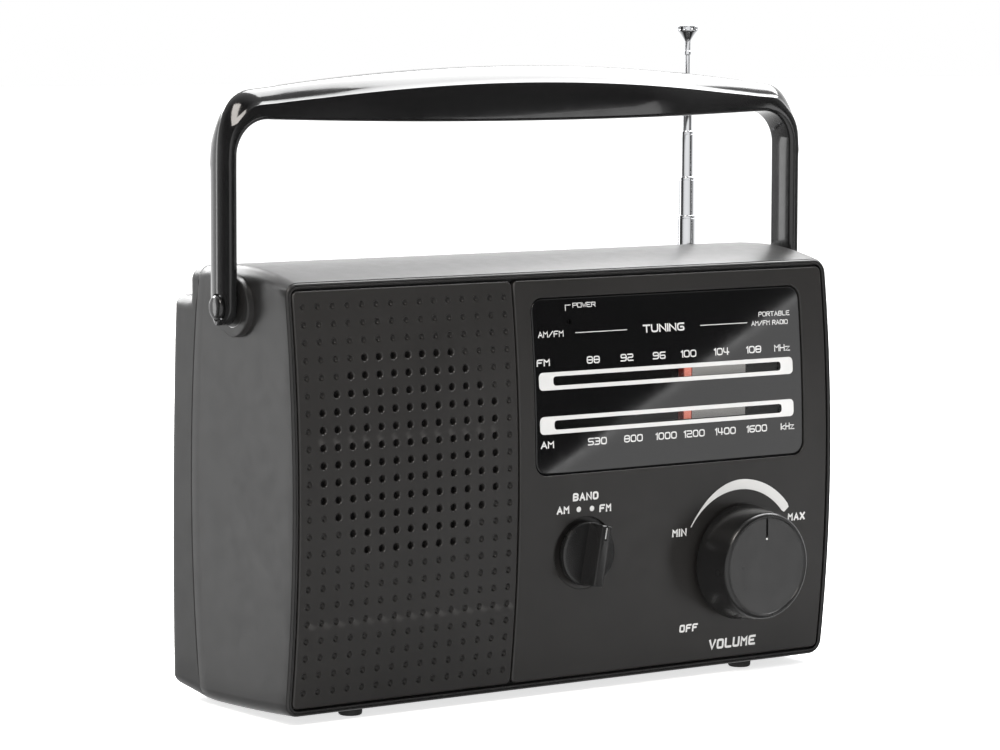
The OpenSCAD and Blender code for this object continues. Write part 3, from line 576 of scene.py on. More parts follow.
# the lip of the seam: a small chamfer that makes the groove between the shells. The order of the new
# faces differs from run to run, and with it the last digits of a few vertices. The shape does not.
ret = bmesh.ops.extrude_edge_only(bm, edges=seam_edges)
for v in [g for g in ret["geom"] if isinstance(g, bmesh.types.BMVert)]:
    x, z = v.co.x * 1000, v.co.z * 1000 - Z0
    v.co.y -= 0.00035
    v.co.x -= math.copysign(0.00042 * ease((abs(x) - 108) / 9), x)
    v.co.z -= math.copysign(0.00042 * ease((abs(z) - 62) / 9), z)
bmesh.ops.recalc_face_normals(bm, faces=bm.faces)
bm.to_mesh(rear.data)
bm.free()
if max(rear.data.polygons, key=lambda p: p.center.y).normal.y < 0:
    rear.data.flip_normals()
m = rear.modifiers.new("wall", "SOLIDIFY")
m.thickness, m.offset, m.use_even_offset = WALL / 1000, -1, False
applied(rear)
bm = bmesh.new()
bm.from_mesh(rear.data)
bmesh.ops.remove_doubles(bm, verts=bm.verts, dist=2e-6)
bmesh.ops.holes_fill(bm, edges=[e for e in bm.edges if e.is_boundary], sides=0)
bmesh.ops.recalc_face_normals(bm, faces=bm.faces)
bm.to_mesh(rear.data)
bm.free()
SCREWS = ((-112.5, 46), (96, 62), (-112.5, -66), (111, -65))
door_x, door_z = (-102.5, -3.5), (-66.5, -16.5)
door_hole = Shape().loft([[(x, y, z) for x, z in ring(door_x, door_z, 1.2, na=4)]
                          for y in (70, 95)], caps=True)
cut(rear, make(door_hole, "cutter"), block_cutter((50, 70), (70, 95), (-20, -8)),
    drill((AERIAL_X, AERIAL_Y, 0), "z", 4.25, 60, 72),
    *[drill((x, 0, z), "y", 3.1, 73, 95) for x, z in SCREWS])
dress(rear, M["rear"], "case", ["rear_case"], angle=24)

# ---- battery door
def plate(x, z, r, surf, profile, nz=1, step=None):
    """A closed plate over a range in x and z. profile: (inset, height) from face to face."""
    sh = Shape()
    rings2 = [ring(x, z, r, 1, nz, 4, grow=-d) for d, _ in profile]
    sh.loft([[(a, surf(b) + h, b) for a, b in r2] for r2, (_, h) in zip(rings2, profile)])
    for i in (0, -1):
        h = profile[i][1]
        sh.fill(rings2[i], [], lambda a, b, h=h: (a, surf(b) + h, b), step)
    return sh


door = plate((-102.2, -3.8), (-66.2, -16.8), 1.0, rear_y,
             [(0.7, 0), (0.3, -0.08), (0.08, -0.3), (0, -0.7), (0, -2.2)], nz=10, step=(20, 5))
for k in range(9):
    z = -60 + 5.2 * k
    door.loft([[(x, rear_y(z + dz) + dy, z + dz)
                for dz, dy in ((-0.9, -0.2), (-0.55, 0.0), (-0.3, 0.28),
                               (0.3, 0.28), (0.55, 0.0), (0.9, -0.2))]
               for x in (-97, -96.4, -68, -67.4)], caps=True)
for x in (-40, -20):
    door.loft([[(x + dx, rear_y(-21.5) + dy, z)
                for dx, dy in ((-5, -0.3), (-4.6, 0.15), (4.6, 0.15), (5, -0.3))]
               for z in (-23.4, -19.6)], caps=True)
dress(make(door, "battery_cover"), M["rear"], "battery_door", ["battery_door"])

# ---- grille panel
PITCH, ROWS, COLS = 6.0, 23, 15
GRILLE_X = (-PANEL_X + SEAM_X - 0.3) / 2
OPEN_FIRST, OPEN_LAST = 3, 14


def is_open(i, j):
    return OPEN_FIRST <= i <= OPEN_LAST and abs(j) <= min(6, 3 + min(i - OPEN_FIRST, OPEN_LAST - i))


def cell(cx, cz):
    h = PITCH / 2
    t = [mix(-h, h, k / 4) for k in range(4)]
    return ([(cx + h, cz + v) for v in t] + [(cx - v, cz + h) for v in t] + [(cx - h, cz - v) for v in t]
            + [(cx + v, cz - h) for v in t])


grille = Shape()
for i in range(ROWS):
    for k in range(COLS):
        cx, cz = GRILLE_X + (k - COLS // 2) * PITCH, ((ROWS - 1) / 2 - i) * PITCH
        square = cell(cx, cz)
        hole = is_open(i, k - COLS // 2)
        if hole:
            steps = [(1.62, 0), (1.55, 0.04), (1.3, 0.3), (1.2, 0.5), (1.2, 2.4)]
        else:
            steps = [(1.3, 0), (1.16, 0.08), (1.02, 0.5), (0.62, 0.95)]
        rings3 = [[(x, face_y(z), z) for x, z in square]]
        for r, h in steps:
            row = []
            for q in range(16):
                a = math.radians(-45 + 22.5 * q)
                x, z = cx + r * math.cos(a), cz + r * math.sin(a)
                row.append((x, face_y(z) + h, z))
            rings3.append(row)
        back_square = [(x, face_y(z) + PANEL_T, z) for x, z in square]
        if hole:
            rings3.append(back_square)
            grille.loft(rings3)
        else:
            grille.loft(rings3)
            grille.add(rings3[-1] + [(cx, face_y(cz) + 1.05, cz)], [(q, (q + 1) % 16, 16) for q in range(16)])
            grille.add(back_square, [tuple(range(16))])
gx0, gx1 = GRILLE_X - COLS * PITCH / 2, GRILLE_X + COLS * PITCH / 2
gz = ROWS * PITCH / 2
nxq, nzq = COLS * 4, ROWS * 4
grid_edge = ([(gx1, mix(-gz, gz, k / nzq)) for k in range(nzq)] + [(mix(gx1, gx0, k / nxq),
    gz) for k in range(nxq)]
             + [(gx0, mix(gz, -gz, k / nzq)) for k in range(nzq)] + [(mix(gx0, gx1, k / nxq),
                 -gz) for k in range(nxq)])
gr_x, gr_z, gr_r = (-PANEL_X, SEAM_X - 0.3), (-PANEL_Z, PANEL_Z), 2.2
EDGE = [(0.6, 0), (0.4, 0.04), (0.2, 0.16), (0.05, 0.36), (0, 0.62), (0, PANEL_T)]
edge_rings = [ring(gr_x, gr_z, gr_r, 20, 36, 5, grow=-d) for d, _ in EDGE]
grille.loft([[(x, face_y(z) + h, z) for x, z in r2] for r2, (_, h) in zip(edge_rings, EDGE)])
grille.fill(edge_rings[0], [grid_edge], lambda x, z: (x, face_y(z), z))
grille.fill(edge_rings[-1], [grid_edge], lambda x, z: (x, face_y(z) + PANEL_T, z))
dress(make(grille, "grille"), M["panel"], "case", ["grille_panel"], angle=32, bow=True)

# ---- control panel
cp_x = (SEAM_X + 0.3, PANEL_X)
pocket = ((LENS_X[0] - 0.25, LENS_X[1] + 0.25), (LENS_Z[0] - 0.25, LENS_Z[1] + 0.25))
window = ((LENS_X[0] + 3, LENS_X[1] - 3), (LENS_Z[0] + 3, LENS_Z[1] - 3))
ctrl = Shape()


def bowed(h):
    return lambda x, z: (x, face_y(z) + h, z)


edge_rings = [ring(cp_x, gr_z, gr_r, 24, 36, 5, grow=-d) for d, _ in EDGE]
ctrl.loft([[(x, face_y(z) + h, z) for x, z in r2] for r2, (_, h) in zip(edge_rings, EDGE)])
pocket_rings = [(ring(*pocket, LENS_R, 16, 16, 8, grow=g), h)
                for g, h in ((0.4, 0), (0.22, 0.05), (0.06, 0.2), (0, 0.4), (0, 1.75))]
win_rings = [(ring(*window, LENS_R - 2, 16, 16, 8), h) for h in (1.75, PANEL_T)]
ctrl.loft([[(x, face_y(z) + h, z) for x, z in r2] for r2, h in pocket_rings + win_rings])
band_flat = face_y(BAND_Z)
band_rings = [(circle(BAND_X, BAND_Z, r), h)
              for r, h in ((WELL_R + 0.35, 0.0), (WELL_R + 0.12, 0.06), (WELL_R, 0.22))]
ctrl.loft([[(x, face_y(z) + h, z) for x, z in r2] for r2, h in band_rings]
          + [[(x, band_flat + WELL_D, z) for x, z in circle(BAND_X, BAND_Z, r)] for r in (WELL_R, SHAFT_HOLE)]
          + [[(x, face_y(z) + PANEL_T, z) for x, z in circle(BAND_X, BAND_Z, SHAFT_HOLE)]])
ctrl.loft([[(x, face_y(z) + h, z) for x, z in circle(VOL_X, VOL_Z, SHAFT_HOLE)] for h in (0, PANEL_T)])
ctrl.fill(edge_rings[0], [pocket_rings[0][0], band_rings[0][0], circle(VOL_X, VOL_Z, SHAFT_HOLE)], bowed(0),
    (12, 4))
ctrl.fill(edge_rings[-1], [win_rings[1][0], circle(BAND_X, BAND_Z, SHAFT_HOLE),
    circle(VOL_X, VOL_Z, SHAFT_HOLE)], bowed(PANEL_T), (24, 8))
dress(make(ctrl, "control_panel_front"), M["panel"], "case", ["control_panel"], angle=32,
    bow=True)

# ---- lens
FM_Z, AM_Z, SLOT_X, SLOT_R = 35.6, 20.0, (-9.3, 95.5), 1.2
SLOT_HALF = 1.65


def slot_ring(zc, grow=0.0):
    return ring(SLOT_X, (zc - SLOT_HALF, zc + SLOT_HALF), SLOT_R, 24, 1, 4, grow=grow)


LENS_H = 0.25
lens = Shape()
profile = [(0.75, LENS_H), (0.45, LENS_H + 0.05), (0.2, LENS_H + 0.2), (0.05, LENS_H + 0.45),
    (0, LENS_H + 0.75), (0, 1.7)]
lens_rings = [ring(LENS_X, LENS_Z, LENS_R, 24, 16, 8, grow=-d) for d, _ in profile]
lens.loft([[(x, face_y(z) + h, z) for x, z in r2] for r2, (_, h) in zip(lens_rings, profile)])
slots = [slot_ring(FM_Z), slot_ring(AM_Z), circle(LED_X, LED_Z, LED_R, 24)]
lens.fill(lens_rings[0], [], bowed(LENS_H), (8, 3), marked=slots)
lens.fill(lens_rings[-1], [], bowed(1.7), (16, 6), marked=slots)
dress(make(lens, "lens"), [M["lens"], M["window"]], "case", ["dial_lens"], angle=40, bow=True)

# ---- lettering
# Strokes on a grid four wide and six high, two digits to a point
GLYPHS = {
    "0": "0040460600", "1": "152620", "2": "064643030040", "3": "06464000 1343", "4": "060242 3630",
    "5": "460603434000", "6": "460600404303", "7": "064610", "8": "0040460600 0343", "9": "004046060343",
    "A": "002640 1232", "B": "00063645443303 3342413000", "D": "00063645413000", "E": "46060040 0333",
    "F": "460600 0333",
    "G": "460600404323", "H": "0006 4046 0343", "I": "2026", "K": "0006 460340", "L": "060040",
    "M": "0006234640",
    "N": "00064046", "O": "0040460600", "P": "0006464303", "R": "0006464303 2340", "T": "0646 2620",
    "U": "06004046",
    "V": "062046", "W": "0610243046", "X": "0046 0640", "Z": "06460040", "z": "04440040", "k": "0006 440240",
    "/": "0046", "S": "460603434000",
}
NARROW = {"I": (2, 2), "1": (1, 2)}


def rounded(p, closed, cut_by):
    """The line with its square corners turned into short arcs."""
    out = []
    for i, q in enumerate(p):
        if not closed and i in (0, len(p) - 1):
            out.append(q)
            continue
        a, b = p[i - 1] - q, p[(i + 1) % len(p)] - q
        if a.normalized().dot(b.normalized()) > 0.35:
            out.append(q)
            continue
        d = min(cut_by, a.length * 0.45, b.length * 0.45)
        a, b = q + a.normalized() * d, q + b.normalized() * d
        out += [a, (a + b) * 0.25 + q * 0.5, b]
    return out


def stroke(sh, pts, t, place, lift, soft=0.0):
    """A ribbon of width t along a line, with mitred corners, standing lift proud."""
    closed = pts[0] == pts[-1] and len(pts) > 2
    p = [Vector(q) for q in (pts[:-1] if closed else pts)]
    if soft:
        p = rounded(p, closed, t * soft)
    n = len(p)
    left, right = [], []
    for i in range(n):
        a = p[i] - p[i - 1] if closed or i else p[1] - p[0]
        b = p[(i + 1) % n] - p[i] if closed or i < n - 1 else a
        a, b = a.normalized(), b.normalized()
        na, nb = Vector((-a.y, a.x)), Vector((-b.y, b.x))
        m = (na + nb)
        m = m / max(0.5, m.dot(na)) if m.length > 1e-6 else na
        q = p[i].copy()
        if not closed and i == 0:
            q = q - a * t / 2
        if not closed and i == n - 1:
            q = q + b * t / 2
        left.append(q + m * t / 2)
        right.append(q - m * t / 2)
    rings4 = []
    for l, r in zip(left, right):
        rings4.append([place(l.x, l.y, 0), place(r.x, r.y, 0), place(r.x, r.y, lift), place(l.x, l.y, lift)])
    sh.loft(rings4, close=closed, caps=not closed)


def write(sh, text, x, z, height, h, width=0.75, weight=0.17, space=0.3, align=0.5, lift=0.04, soft=1.5):
    """Text centred on (x, z) by its cap height, lying h behind the bow."""
    t = weight * height
    u, w = (height - t) / 6, (height * width - t) / 4
    spans = []
    cx = 0.0
    for ch in text:
        lo, hi = NARROW.get(ch, (0, 4))
        if ch == " ":
            cx += height * width * 0.6
            spans.append(None)
            continue
        spans.append((cx - lo * w + t / 2, lo))
        cx += (hi - lo) * w + t + space * t * 2
    total = cx - space * t * 2
    x0 = x - total * align
    for ch, s in zip(text, spans):
        if s is None:
            continue
        for line in GLYPHS[ch].split():
            spots = [(int(line[k]), int(line[k + 1])) for k in range(0, len(line), 2)]
            pts = [(x0 + s[0] + a * w, z - height / 2 + t / 2 + b * u) for a, b in spots]
            stroke(sh, pts, t, lambda a, b, c: (a, face_y(b) + h - c, b), lift, soft)


PRINT_T = 0.04           # how far the printing stands proud
dial = Shape()
DIAL_H = LENS_H + 0.01
for text, x in (("88", 8.8), ("92", 24.0), ("96", 38.7), ("100", 52.3), ("104", 67.7), ("108", 82.9)):
    write(dial, text, x, 42.3, 2.65, DIAL_H, 1.05)
for text, x in (("530", 9.7), ("800", 26.0), ("1000", 41.0), ("1200", 54.0), ("1400", 68.6), ("1600", 83.5)):
    write(dial, text, x, 13.2, 2.65, DIAL_H, 1.0)
for text, x, z, height, width, weight, soft in (
        ("FM", -13.4, 42.3, 2.5, 1.1, 0.2, 1.5), ("AM", -12.5, 13.2, 2.5, 1.1, 0.2, 1.5),
        ("MHz", 96.5, 42.3, 2.5, 0.95, 0.15, 1.5), ("kHz", 98.2, 13.2, 2.5, 0.8, 0.15, 1.5),
        ("POWER", 6.0, 61.9, 1.75, 1.1, 0.15, 0.4), ("TUNING", 41.4, 52.2, 2.9, 1.15, 0.2, 1.5),
        ("PORTABLE", 93.4, 55.0, 1.8, 0.95, 0.16, 1.5), ("AM/FM RADIO", 91.1, 51.8, 1.8, 0.9, 0.16, 1.5),
        ("AM/FM", -9.5, 52.2, 2.2, 0.95, 0.16, 1.5)):
    write(dial, text, x, z, height, DIAL_H, width, weight, soft=soft)


def dial_place(a, b, c):
    return (a, face_y(b) + DIAL_H - c, b)


stroke(dial, [(-2.4, 60.3), (-2.4, 62.1), (-0.2, 62.1)], 0.3, dial_place, PRINT_T)
stroke(dial, [(1.5, 52.2), (24.5, 52.2)], 0.28, dial_place, PRINT_T)
stroke(dial, [(58.5, 52.2), (80.3, 52.2)], 0.28, dial_place, PRINT_T)
for zc in (FM_Z, AM_Z):
    outer = ring((-15.6, 101.2), (zc - 3.15, zc + 3.15), 1.7, 24, 1, 5)
    hole = slot_ring(zc)
    for h in (0, PRINT_T):
        dial.fill(outer, [hole], lambda a, b, h=h: dial_place(a, b, h))
    for loop in (outer, hole):
        dial.loft([[dial_place(a, b, h) for a, b in loop] for h in (0, PRINT_T)])
dress(make(dial, "dial_print"), M["dial_ink"], "case", angle=30)

plain = Shape()
PH = 0.01
for text, x, z, height, width, weight in (
        ("BAND", 4.3, -6.2, 2.9, 0.88, 0.235), ("AM", -5.7, -10.5, 2.8, 0.92, 0.235),
        ("FM", 13.2, -11.0, 2.8, 0.88, 0.235), ("MIN", 47.5, -22.7, 2.9, 0.9, 0.235),
        ("MAX", 102.9, -20.8, 2.9, 0.86, 0.235), ("OFF", 54.3, -58.6, 2.9, 0.88, 0.235),
        ("VOLUME", 75.7, -66.0, 3.8, 0.86, 0.22)):
    write(plain, text, x, z, height, PH, width, weight, soft=0.7)


def panel_place(a, b, c):
    return (a, face_y(b) + PH - c, b)


for x, z in ((1.3, -10.7), (7.2, -10.8)):
    dot = circle(x, z, 1.0, 20)
    for h in (0, PRINT_T):
        plain.fill(dot, [], lambda a, b, h=h: panel_place(a, b, h))
    plain.loft([[panel_place(a, b, h) for a, b in dot] for h in (0, PRINT_T)])
steps = 40
arc_rows = []
for k in range(steps + 1):
    a = math.radians(mix(148, 38, k / steps))
    swell = ease((148 - math.degrees(a)) / 62)
    r0, r1 = 26.6, 27.0 + 3.3 * swell
    if k == steps:
        r0, r1 = r0 + 0.5, r1 - 0.5
    p0 = (VOL_X + r0 * math.cos(a), VOL_Z + r0 * math.sin(a))
    p1 = (VOL_X + r1 * math.cos(a), VOL_Z + r1 * math.sin(a))
    arc_rows.append([panel_place(*p0, 0), panel_place(*p1, 0), panel_place(*p1, PRINT_T),
        panel_place(*p0, PRINT_T)])
plain.loft(arc_rows, caps=True)
dress(make(plain, "panel_print"), M["ink"], "case", angle=30)

# ---- scale strips
# They ride with the pointer, and end short of the case at the end of its travel
STRIP_Y, STRIP_HALF = (5.95, 6.25), 2.9
strip = Shape()
for zc in (FM_Z, AM_Z):
    strip.loft([[(x, y, z) for y, z in ((STRIP_Y[0], zc - STRIP_HALF), (STRIP_Y[0], zc + STRIP_HALF),
                                        (STRIP_Y[1], zc + STRIP_HALF), (STRIP_Y[1], zc - STRIP_HALF))]
                for x in (56.9, 61, 66, 82.4)], caps=True)
# The strips' grey carries a painted glow of its own
dress(make(strip, "scale_strips"), M["strip"], "pointer")
# The front of the needle: a paler copy of its red with a painted glow, painted light on the needle
needle = Shape().loft([[(x, y, z) for x, y in ((52.9, 5.22), (53.1, 5.0), (56.1, 5.0), (56.3, 5.22))]
                       for z in (15.4, 30, 43.2)], caps=True)
dress(make(needle, "needle_face"), M["needle_face"], "pointer")

# ---- volume knob
knob = Shape()
knob_profile = [(5.5, -0.9), (20.9, -0.9), (21.15, -1.0), (21.28, -1.3), (21.2, -2.2), (20.95, -4.2),
                (20.7, -6.2), (20.4, -8.4), (20.05, -10.8), (19.75, -13.0), (19.58, -14.3),
                (19.5, -14.75), (19.32, -15.2), (19.05, -15.55), (18.7, -15.85), (18.35, -15.98),
                (18.05, -16.0), (17.8, -15.94), (17.62, -15.78), (17.5, -15.62), (17.2, -15.6),
                (12, -15.6), (6, -15.6), (2, -15.6), (0.0, -15.6)]
knob.turn(knob_profile, (VOL_X, 0, VOL_Z), "y", 128, close=False)
knob.turn([(5.5, -0.9), (5.5, -13), (0.0, -13)], (VOL_X, 0, VOL_Z), "y", 128, close=False)
volume = make(knob, "volume_knob_body")
cut(volume, block_cutter((VOL_X - 0.5, VOL_X + 0.5), (-20, -14.8), (VOL_Z + 9.6, VOL_Z + 17.4)))
dress(volume, M["knob"], "volume", ["volume_knob"], angle=26)
mark = Shape()
dot = circle(VOL_X, VOL_Z + 9.9, 0.46, 18)
mark.loft([[(x, y, z) for x, z in dot] for y in (-14.9, -15.5)], caps=True)
dress(make(mark, "volume_mark"), M["ink"], "volume")

# ---- band knob
band = Shape()
band.turn([(0.0, 0.4), (11.2, 0.4), (11.55, 0.1), (11.6, -0.6), (11.6, -1.6), (11.4, -2.15),
           (11.05, -2.45), (10.6, -2.6), (0.0, -2.6)], (BAND_X, 0, BAND_Z), "y", 96, close=False)
band_body = make(band, "band_knob_disc")
dress(band_body, M["knob"], "band", ["band_knob"], angle=26)
lean = math.radians(BAND_TURN)


def leaning(u, y, v):
    """From the bar's own frame, v up along the bar."""
    return (BAND_X + u * math.cos(lean) + v * math.sin(lean), y,
        BAND_Z - u * math.sin(lean) + v * math.cos(lean))


bar = Shape()
BAR_W, BAR_L = 2.2, 10.88


def bar_outline(grow):
    pts = []
    w, l = BAR_W + grow, BAR_L + grow
    r = math.hypot(w, l)
    a0 = math.asin(w / r)
    for k in range(9):
        a = mix(a0, -a0, k / 8)
        pts.append((r * math.sin(-a), r * math.cos(a)))
    return pts + [(-u, -v) for u, v in pts]


bar_steps = [(0.0, -2.0), (0.0, -4.0), (-0.02, -7.0), (-0.06, -9.7), (-0.14, -10.15), (-0.32, -10.4),
    (-0.6, -10.5)]
bar.loft([[leaning(u, y, v) for u, v in bar_outline(g)] for g, y in bar_steps], caps=True)
band_bar = make(bar, "band_knob_bar")
notch = Shape().loft([[leaning(u, y, v) for u, v in ((-0.45, 5.6), (0.45, 5.6), (0.45, 14),
    (-0.45, 14))] for y in (-12, -9.9)], caps=True)
cut(band_bar, make(notch, "cutter"))
dress(band_bar, M["knob"], "band", angle=26)
tick = Shape().loft([[leaning(u, y, v) for u, v in ((-0.38, 6.2), (0.38, 6.2), (0.38, 10.2),
    (-0.38, 10.2))] for y in (-9.85, -10.05)], caps=True)
dress(make(tick, "band_mark"), M["ink"], "band")

# ---- handle
ARM_X, ARM_T, ARM_W = 128.0, 5.1, 6.2
RIDGE, ARCH = 146.4, 0.00058
SH_X, SH_A, SH_B = 111.0, 17.0, 26.0
IN_A, IN_B = 12.2, 12.6
GRIP_LOW = 126.7
IN_X, IN_ARCH = 110.5, 0.00016   # where the underside of the grip begins, and its arch
TOP_X = 112.42                   # where the top of the grip begins
GRIP_C, MID_C = 5.3, 5.8         # crown at the ends and in the middle of the grip
ARM_C = 1.4          # crown of the arms
SQUARE = 0.74        # below 1 the shoulder is squarer than an ellipse


def handle_stations():
    """(outer point, inner point, half width, crown) from the pivot round to the middle of the grip."""
    out = []
    for k in range(1, 9):
        a = math.radians(90 - 11.25 * k)
        w = ARM_W * math.cos(a)
        z = PIVOT_Z - ARM_W * math.sin(a)
        out.append(((ARM_X, z), (ARM_X - ARM_T, z), w, ARM_C * w / ARM_W))
    top = RIDGE - ARCH * (SH_X + 1.42) ** 2
    cz = top - SH_B * 0.9965
    in_top = GRIP_LOW + IN_ARCH * IN_X ** 2
    in_cz = in_top - IN_B
    for z in (74, 84, 94, 104, cz - 2):
        out.append(((ARM_X, z), (ARM_X - ARM_T, z), ARM_W, ARM_C))
    n = 14
    for k in range(n + 1):
        a = math.radians(85.2 * k / n)
        b = math.radians(90 * k / n)
        s = k / n
        o = (SH_X + SH_A * math.cos(a) ** SQUARE, cz + SH_B * math.sin(a) ** SQUARE)
        i = (IN_X + (ARM_X - ARM_T - IN_X) * math.cos(b), in_cz + IN_B * math.sin(b))
        out.append((o, i, ARM_W, mix(ARM_C, GRIP_C, ease(s * 1.7 - 0.1))))
    for k in range(1, 25):
        s = k / 24
        xo, xi = mix(TOP_X, 0, s), mix(IN_X, 0, s)
        w = ARM_W + 2.8 * ease((112 - xo) / 62)
        out.append(((xo, RIDGE - ARCH * xo * xo), (xi, GRIP_LOW + IN_ARCH * xi * xi), w,
            mix(GRIP_C, MID_C, ease(s * 4))))
    return out


def handle_section(o, i, w, c):
    """Closed section: crowned outer side, crisp front and rear edges, flat sides, round inner edges."""
    o, i = Vector(o), Vector(i)
    n = (o - i).normalized()
    h = (o - i).length
    pts = []
    m = 7
    e = min(0.35, w * 0.2)
    for k in range(m + 1):
        u = k / m
        pts.append((-(w - e) * u, h - c * (0.16 * u + 0.84 * u * u)))
    pts.append((-w + e * 0.3, h - c - e * 0.35))
    pts.append((-w, h - c - e))
    r = min(1.5, (h - c) * 0.4, w * 0.4)
    for k in range(5):
        a = math.radians(90 * k / 4)
        pts.append((-w + r * (1 - math.cos(a)), r * (1 - math.sin(a))))
    pts.append((0.0, 0.0))
    full = pts + [(-y, v) for y, v in reversed(pts[1:-1])]
    return [(i.x + n.x * v, PIVOT_Y + y, i.y + n.y * v) for y, v in full]


half = [handle_section(*s) for s in handle_stations()]
mirror = [[(-x, y, z) for x, y, z in r] for r in reversed(half[:-1])]
grip = Shape().loft(half + mirror, caps=True)
handle = make(grip, "carrying_handle")
cut(handle, *[drill((0, PIVOT_Y, PIVOT_Z), "x", 4.8, *h) for h in ((126.4, 130), (-130, -126.4))])
dress(handle, M["gloss"], "handle", ["handle"], angle=38)
pins = Shape()
for s in (-1, 1):
    pins.turn([(0.0, s * 129.25), (1.6, s * 129.22), (3.0, s * 129.1), (3.7, s * 128.85), (4.05, s * 128.45),
        (4.15, s * 128.0),
               (4.15, s * 127.7), (3.4, s * 127.6), (3.4, s * 118.5), (0.0, s * 118.5)],
               (0, PIVOT_Y, PIVOT_Z), "x", 48, close=False)
dress(make(pins, "pivot_pins"), M["gloss"], "case", ["handle_pins"], angle=40)

# ---- aerial
TUBES = ((3.5, 87.8, 112), (3.0, 102.6, 110), (2.5, 120.1, 108), (2.0, 129.5, 106), (1.5, 139.0, 104))
for k, (r, top, length) in enumerate(TUBES):
    base = top - length
    tube = Shape().turn([(r - 0.42, base), (r, base), (r, top - 1.5), (r - 0.02, top - 1.35),
        (r - 0.12, top - 1.25), (r - 0.12, top - 1.05),
                         (r, top - 0.95), (r, top - 0.45), (r - 0.05, top - 0.2), (r - 0.16, top - 0.05),
                         (r - 0.3, top), (r - 0.42, top - 0.08),
                         (r - 0.47, top - 0.3), (r - 0.42, top - 0.6)], (AERIAL_X, AERIAL_Y, 0), "z", 40)
    dress(make(tube, "aerial_section_%d" % (k + 1)), M["chrome"], "tube_%d" % (k + 1),
        ["aerial_tube_%d" % (k + 1)], angle=35)


def scalloped(r, h, a):
    if 158.9 < h < 159.9 and r > 3.6:
        return r - 0.55 * max(0.0, math.cos(10 * a)) ** 2
    return r


rod = Shape().turn([(0.0, 47.1), (1.0, 47.1), (1.0, 149.0), (1.15, 149.1), (1.4, 149.35), (1.4, 150.6),
    (1.2, 150.8), (1.2, 154.2),
                    (1.35, 154.9), (1.9, 155.6), (2.8, 156.9), (3.7, 157.9), (4.05, 158.3), (4.1, 158.6),
                    (4.1, 158.8), (4.1, 159.1),
                    (4.1, 159.4), (4.1, 159.7), (4.1, 160.0), (3.95, 160.2), (3.6, 160.28), (3.2, 160.1),
                    (1.5, 159.9), (0.0, 159.85)],
                   (AERIAL_X, AERIAL_Y, 0), "z", 80, close=False, radius=scalloped)
dress(make(rod, "aerial_tip_rod"), M["chrome"], "rod", ["aerial_rod"], angle=35)

# ---- feet
feet = Shape()
for x in (-87.3, 87.3):
    for y in (14, 68):
        feet.turn([(0.0, SOLE_Z + 0.25), (2.6, SOLE_Z + 0.25), (2.9, SOLE_Z), (3.6, SOLE_Z),
            (4.0, SOLE_Z + 0.25),
                   (4.2, SOLE_Z + 0.8), (4.3, -73.6), (0.0, -73.6)], (x, y, 0), "z", 48, close=False)
dress(make(feet, "rubber_feet"), M["rubber"], "case", ["feet"], angle=35)

# ---- studio
def emitter(name, strength):
    mat = bpy.data.materials.new(name)
    nt, N, L = nodes_of(mat)
    out = N.new("ShaderNodeOutputMaterial")
    em = N.new("ShaderNodeEmission")
    em.inputs[0].default_value = (1, 1, 1, 1)
    em.inputs[1].default_value = strength
    L.new(em.outputs[0], out.inputs[0])
    return mat


scene = bpy.context.scene
scene.view_settings.view_transform = "Standard"

CAM_LENS, CAM_AT = 140.54, (-0.83239, -1.13117, 0.24511)
yaw, pitch, roll = math.radians(36.03), math.radians(5.41), math.radians(0.18)
look = Vector((math.sin(yaw) * math.cos(pitch), math.cos(yaw) * math.cos(pitch), -math.sin(pitch)))
right = Vector((math.cos(yaw), -math.sin(yaw), 0))
up = right.cross(look)
cam_right = math.cos(roll) * right + math.sin(roll) * up
cam_up = -math.sin(roll) * right + math.cos(roll) * up
cam_data = bpy.data.cameras.new("camera")
cam_data.lens = CAM_LENS
cam_data.sensor_width = 36
cam_data.clip_end = 50
cam = bpy.data.objects.new("camera", cam_data)
scene.collection.objects.link(cam)
cam.matrix_world = Matrix([(cam_right[k], cam_up[k], -look[k], CAM_AT[k]) for k in range(3)] + [(0, 0, 0, 1)])
scene.camera = cam

# White to the camera. Everything else sees a room, fixed in the world, that is light behind
# the camera and behind the set, and dark between
world = bpy.data.worlds.new("studio")
scene.world = world
world.use_nodes = True
nt, N, L = world.node_tree, world.node_tree.nodes, world.node_tree.links
N.clear()
out = N.new("ShaderNodeOutputWorld")
path = N.new("ShaderNodeLightPath")
white = N.new("ShaderNodeBackground")
room = N.new("ShaderNodeBackground")
white.inputs[0].default_value = (1, 1, 1, 1)
white.inputs[1].default_value = 1.0
tc = N.new("ShaderNodeTexCoord")
dotp = N.new("ShaderNodeVectorMath")
dotp.operation = "DOT_PRODUCT"
dotp.inputs[1].default_value = (math.sin(yaw) * 0.9, math.cos(yaw) * 0.9, 0.3)
L.new(tc.outputs["Generated"], dotp.inputs[0])
shade = N.new("ShaderNodeValToRGB")
mr = N.new("ShaderNodeMapRange")
put(mr, {"From Min": -1, "From Max": 1})
L.new(dotp.outputs["Value"], mr.inputs["Value"])
set_ramp(shade, [(pos, (grey,) * 3) for pos, grey in (
    (0.0, 1), (0.19, 0.75), (0.26, 0.1), (0.31, 0.02), (0.42, 0.03), (0.55, 0.4), (0.75, 0.9), (1.0, 1.6))])
L.new(mr.outputs[0], shade.inputs[0])
L.new(shade.outputs[0], room.inputs[0])
room.inputs[1].default_value = 1.0
mx = N.new("ShaderNodeMixShader")
L.new(path.outputs["Is Camera Ray"], mx.inputs[0])
L.new(room.outputs[0], mx.inputs[1])
L.new(white.outputs[0], mx.inputs[2])
L.new(mx.outputs[0], out.inputs[0])


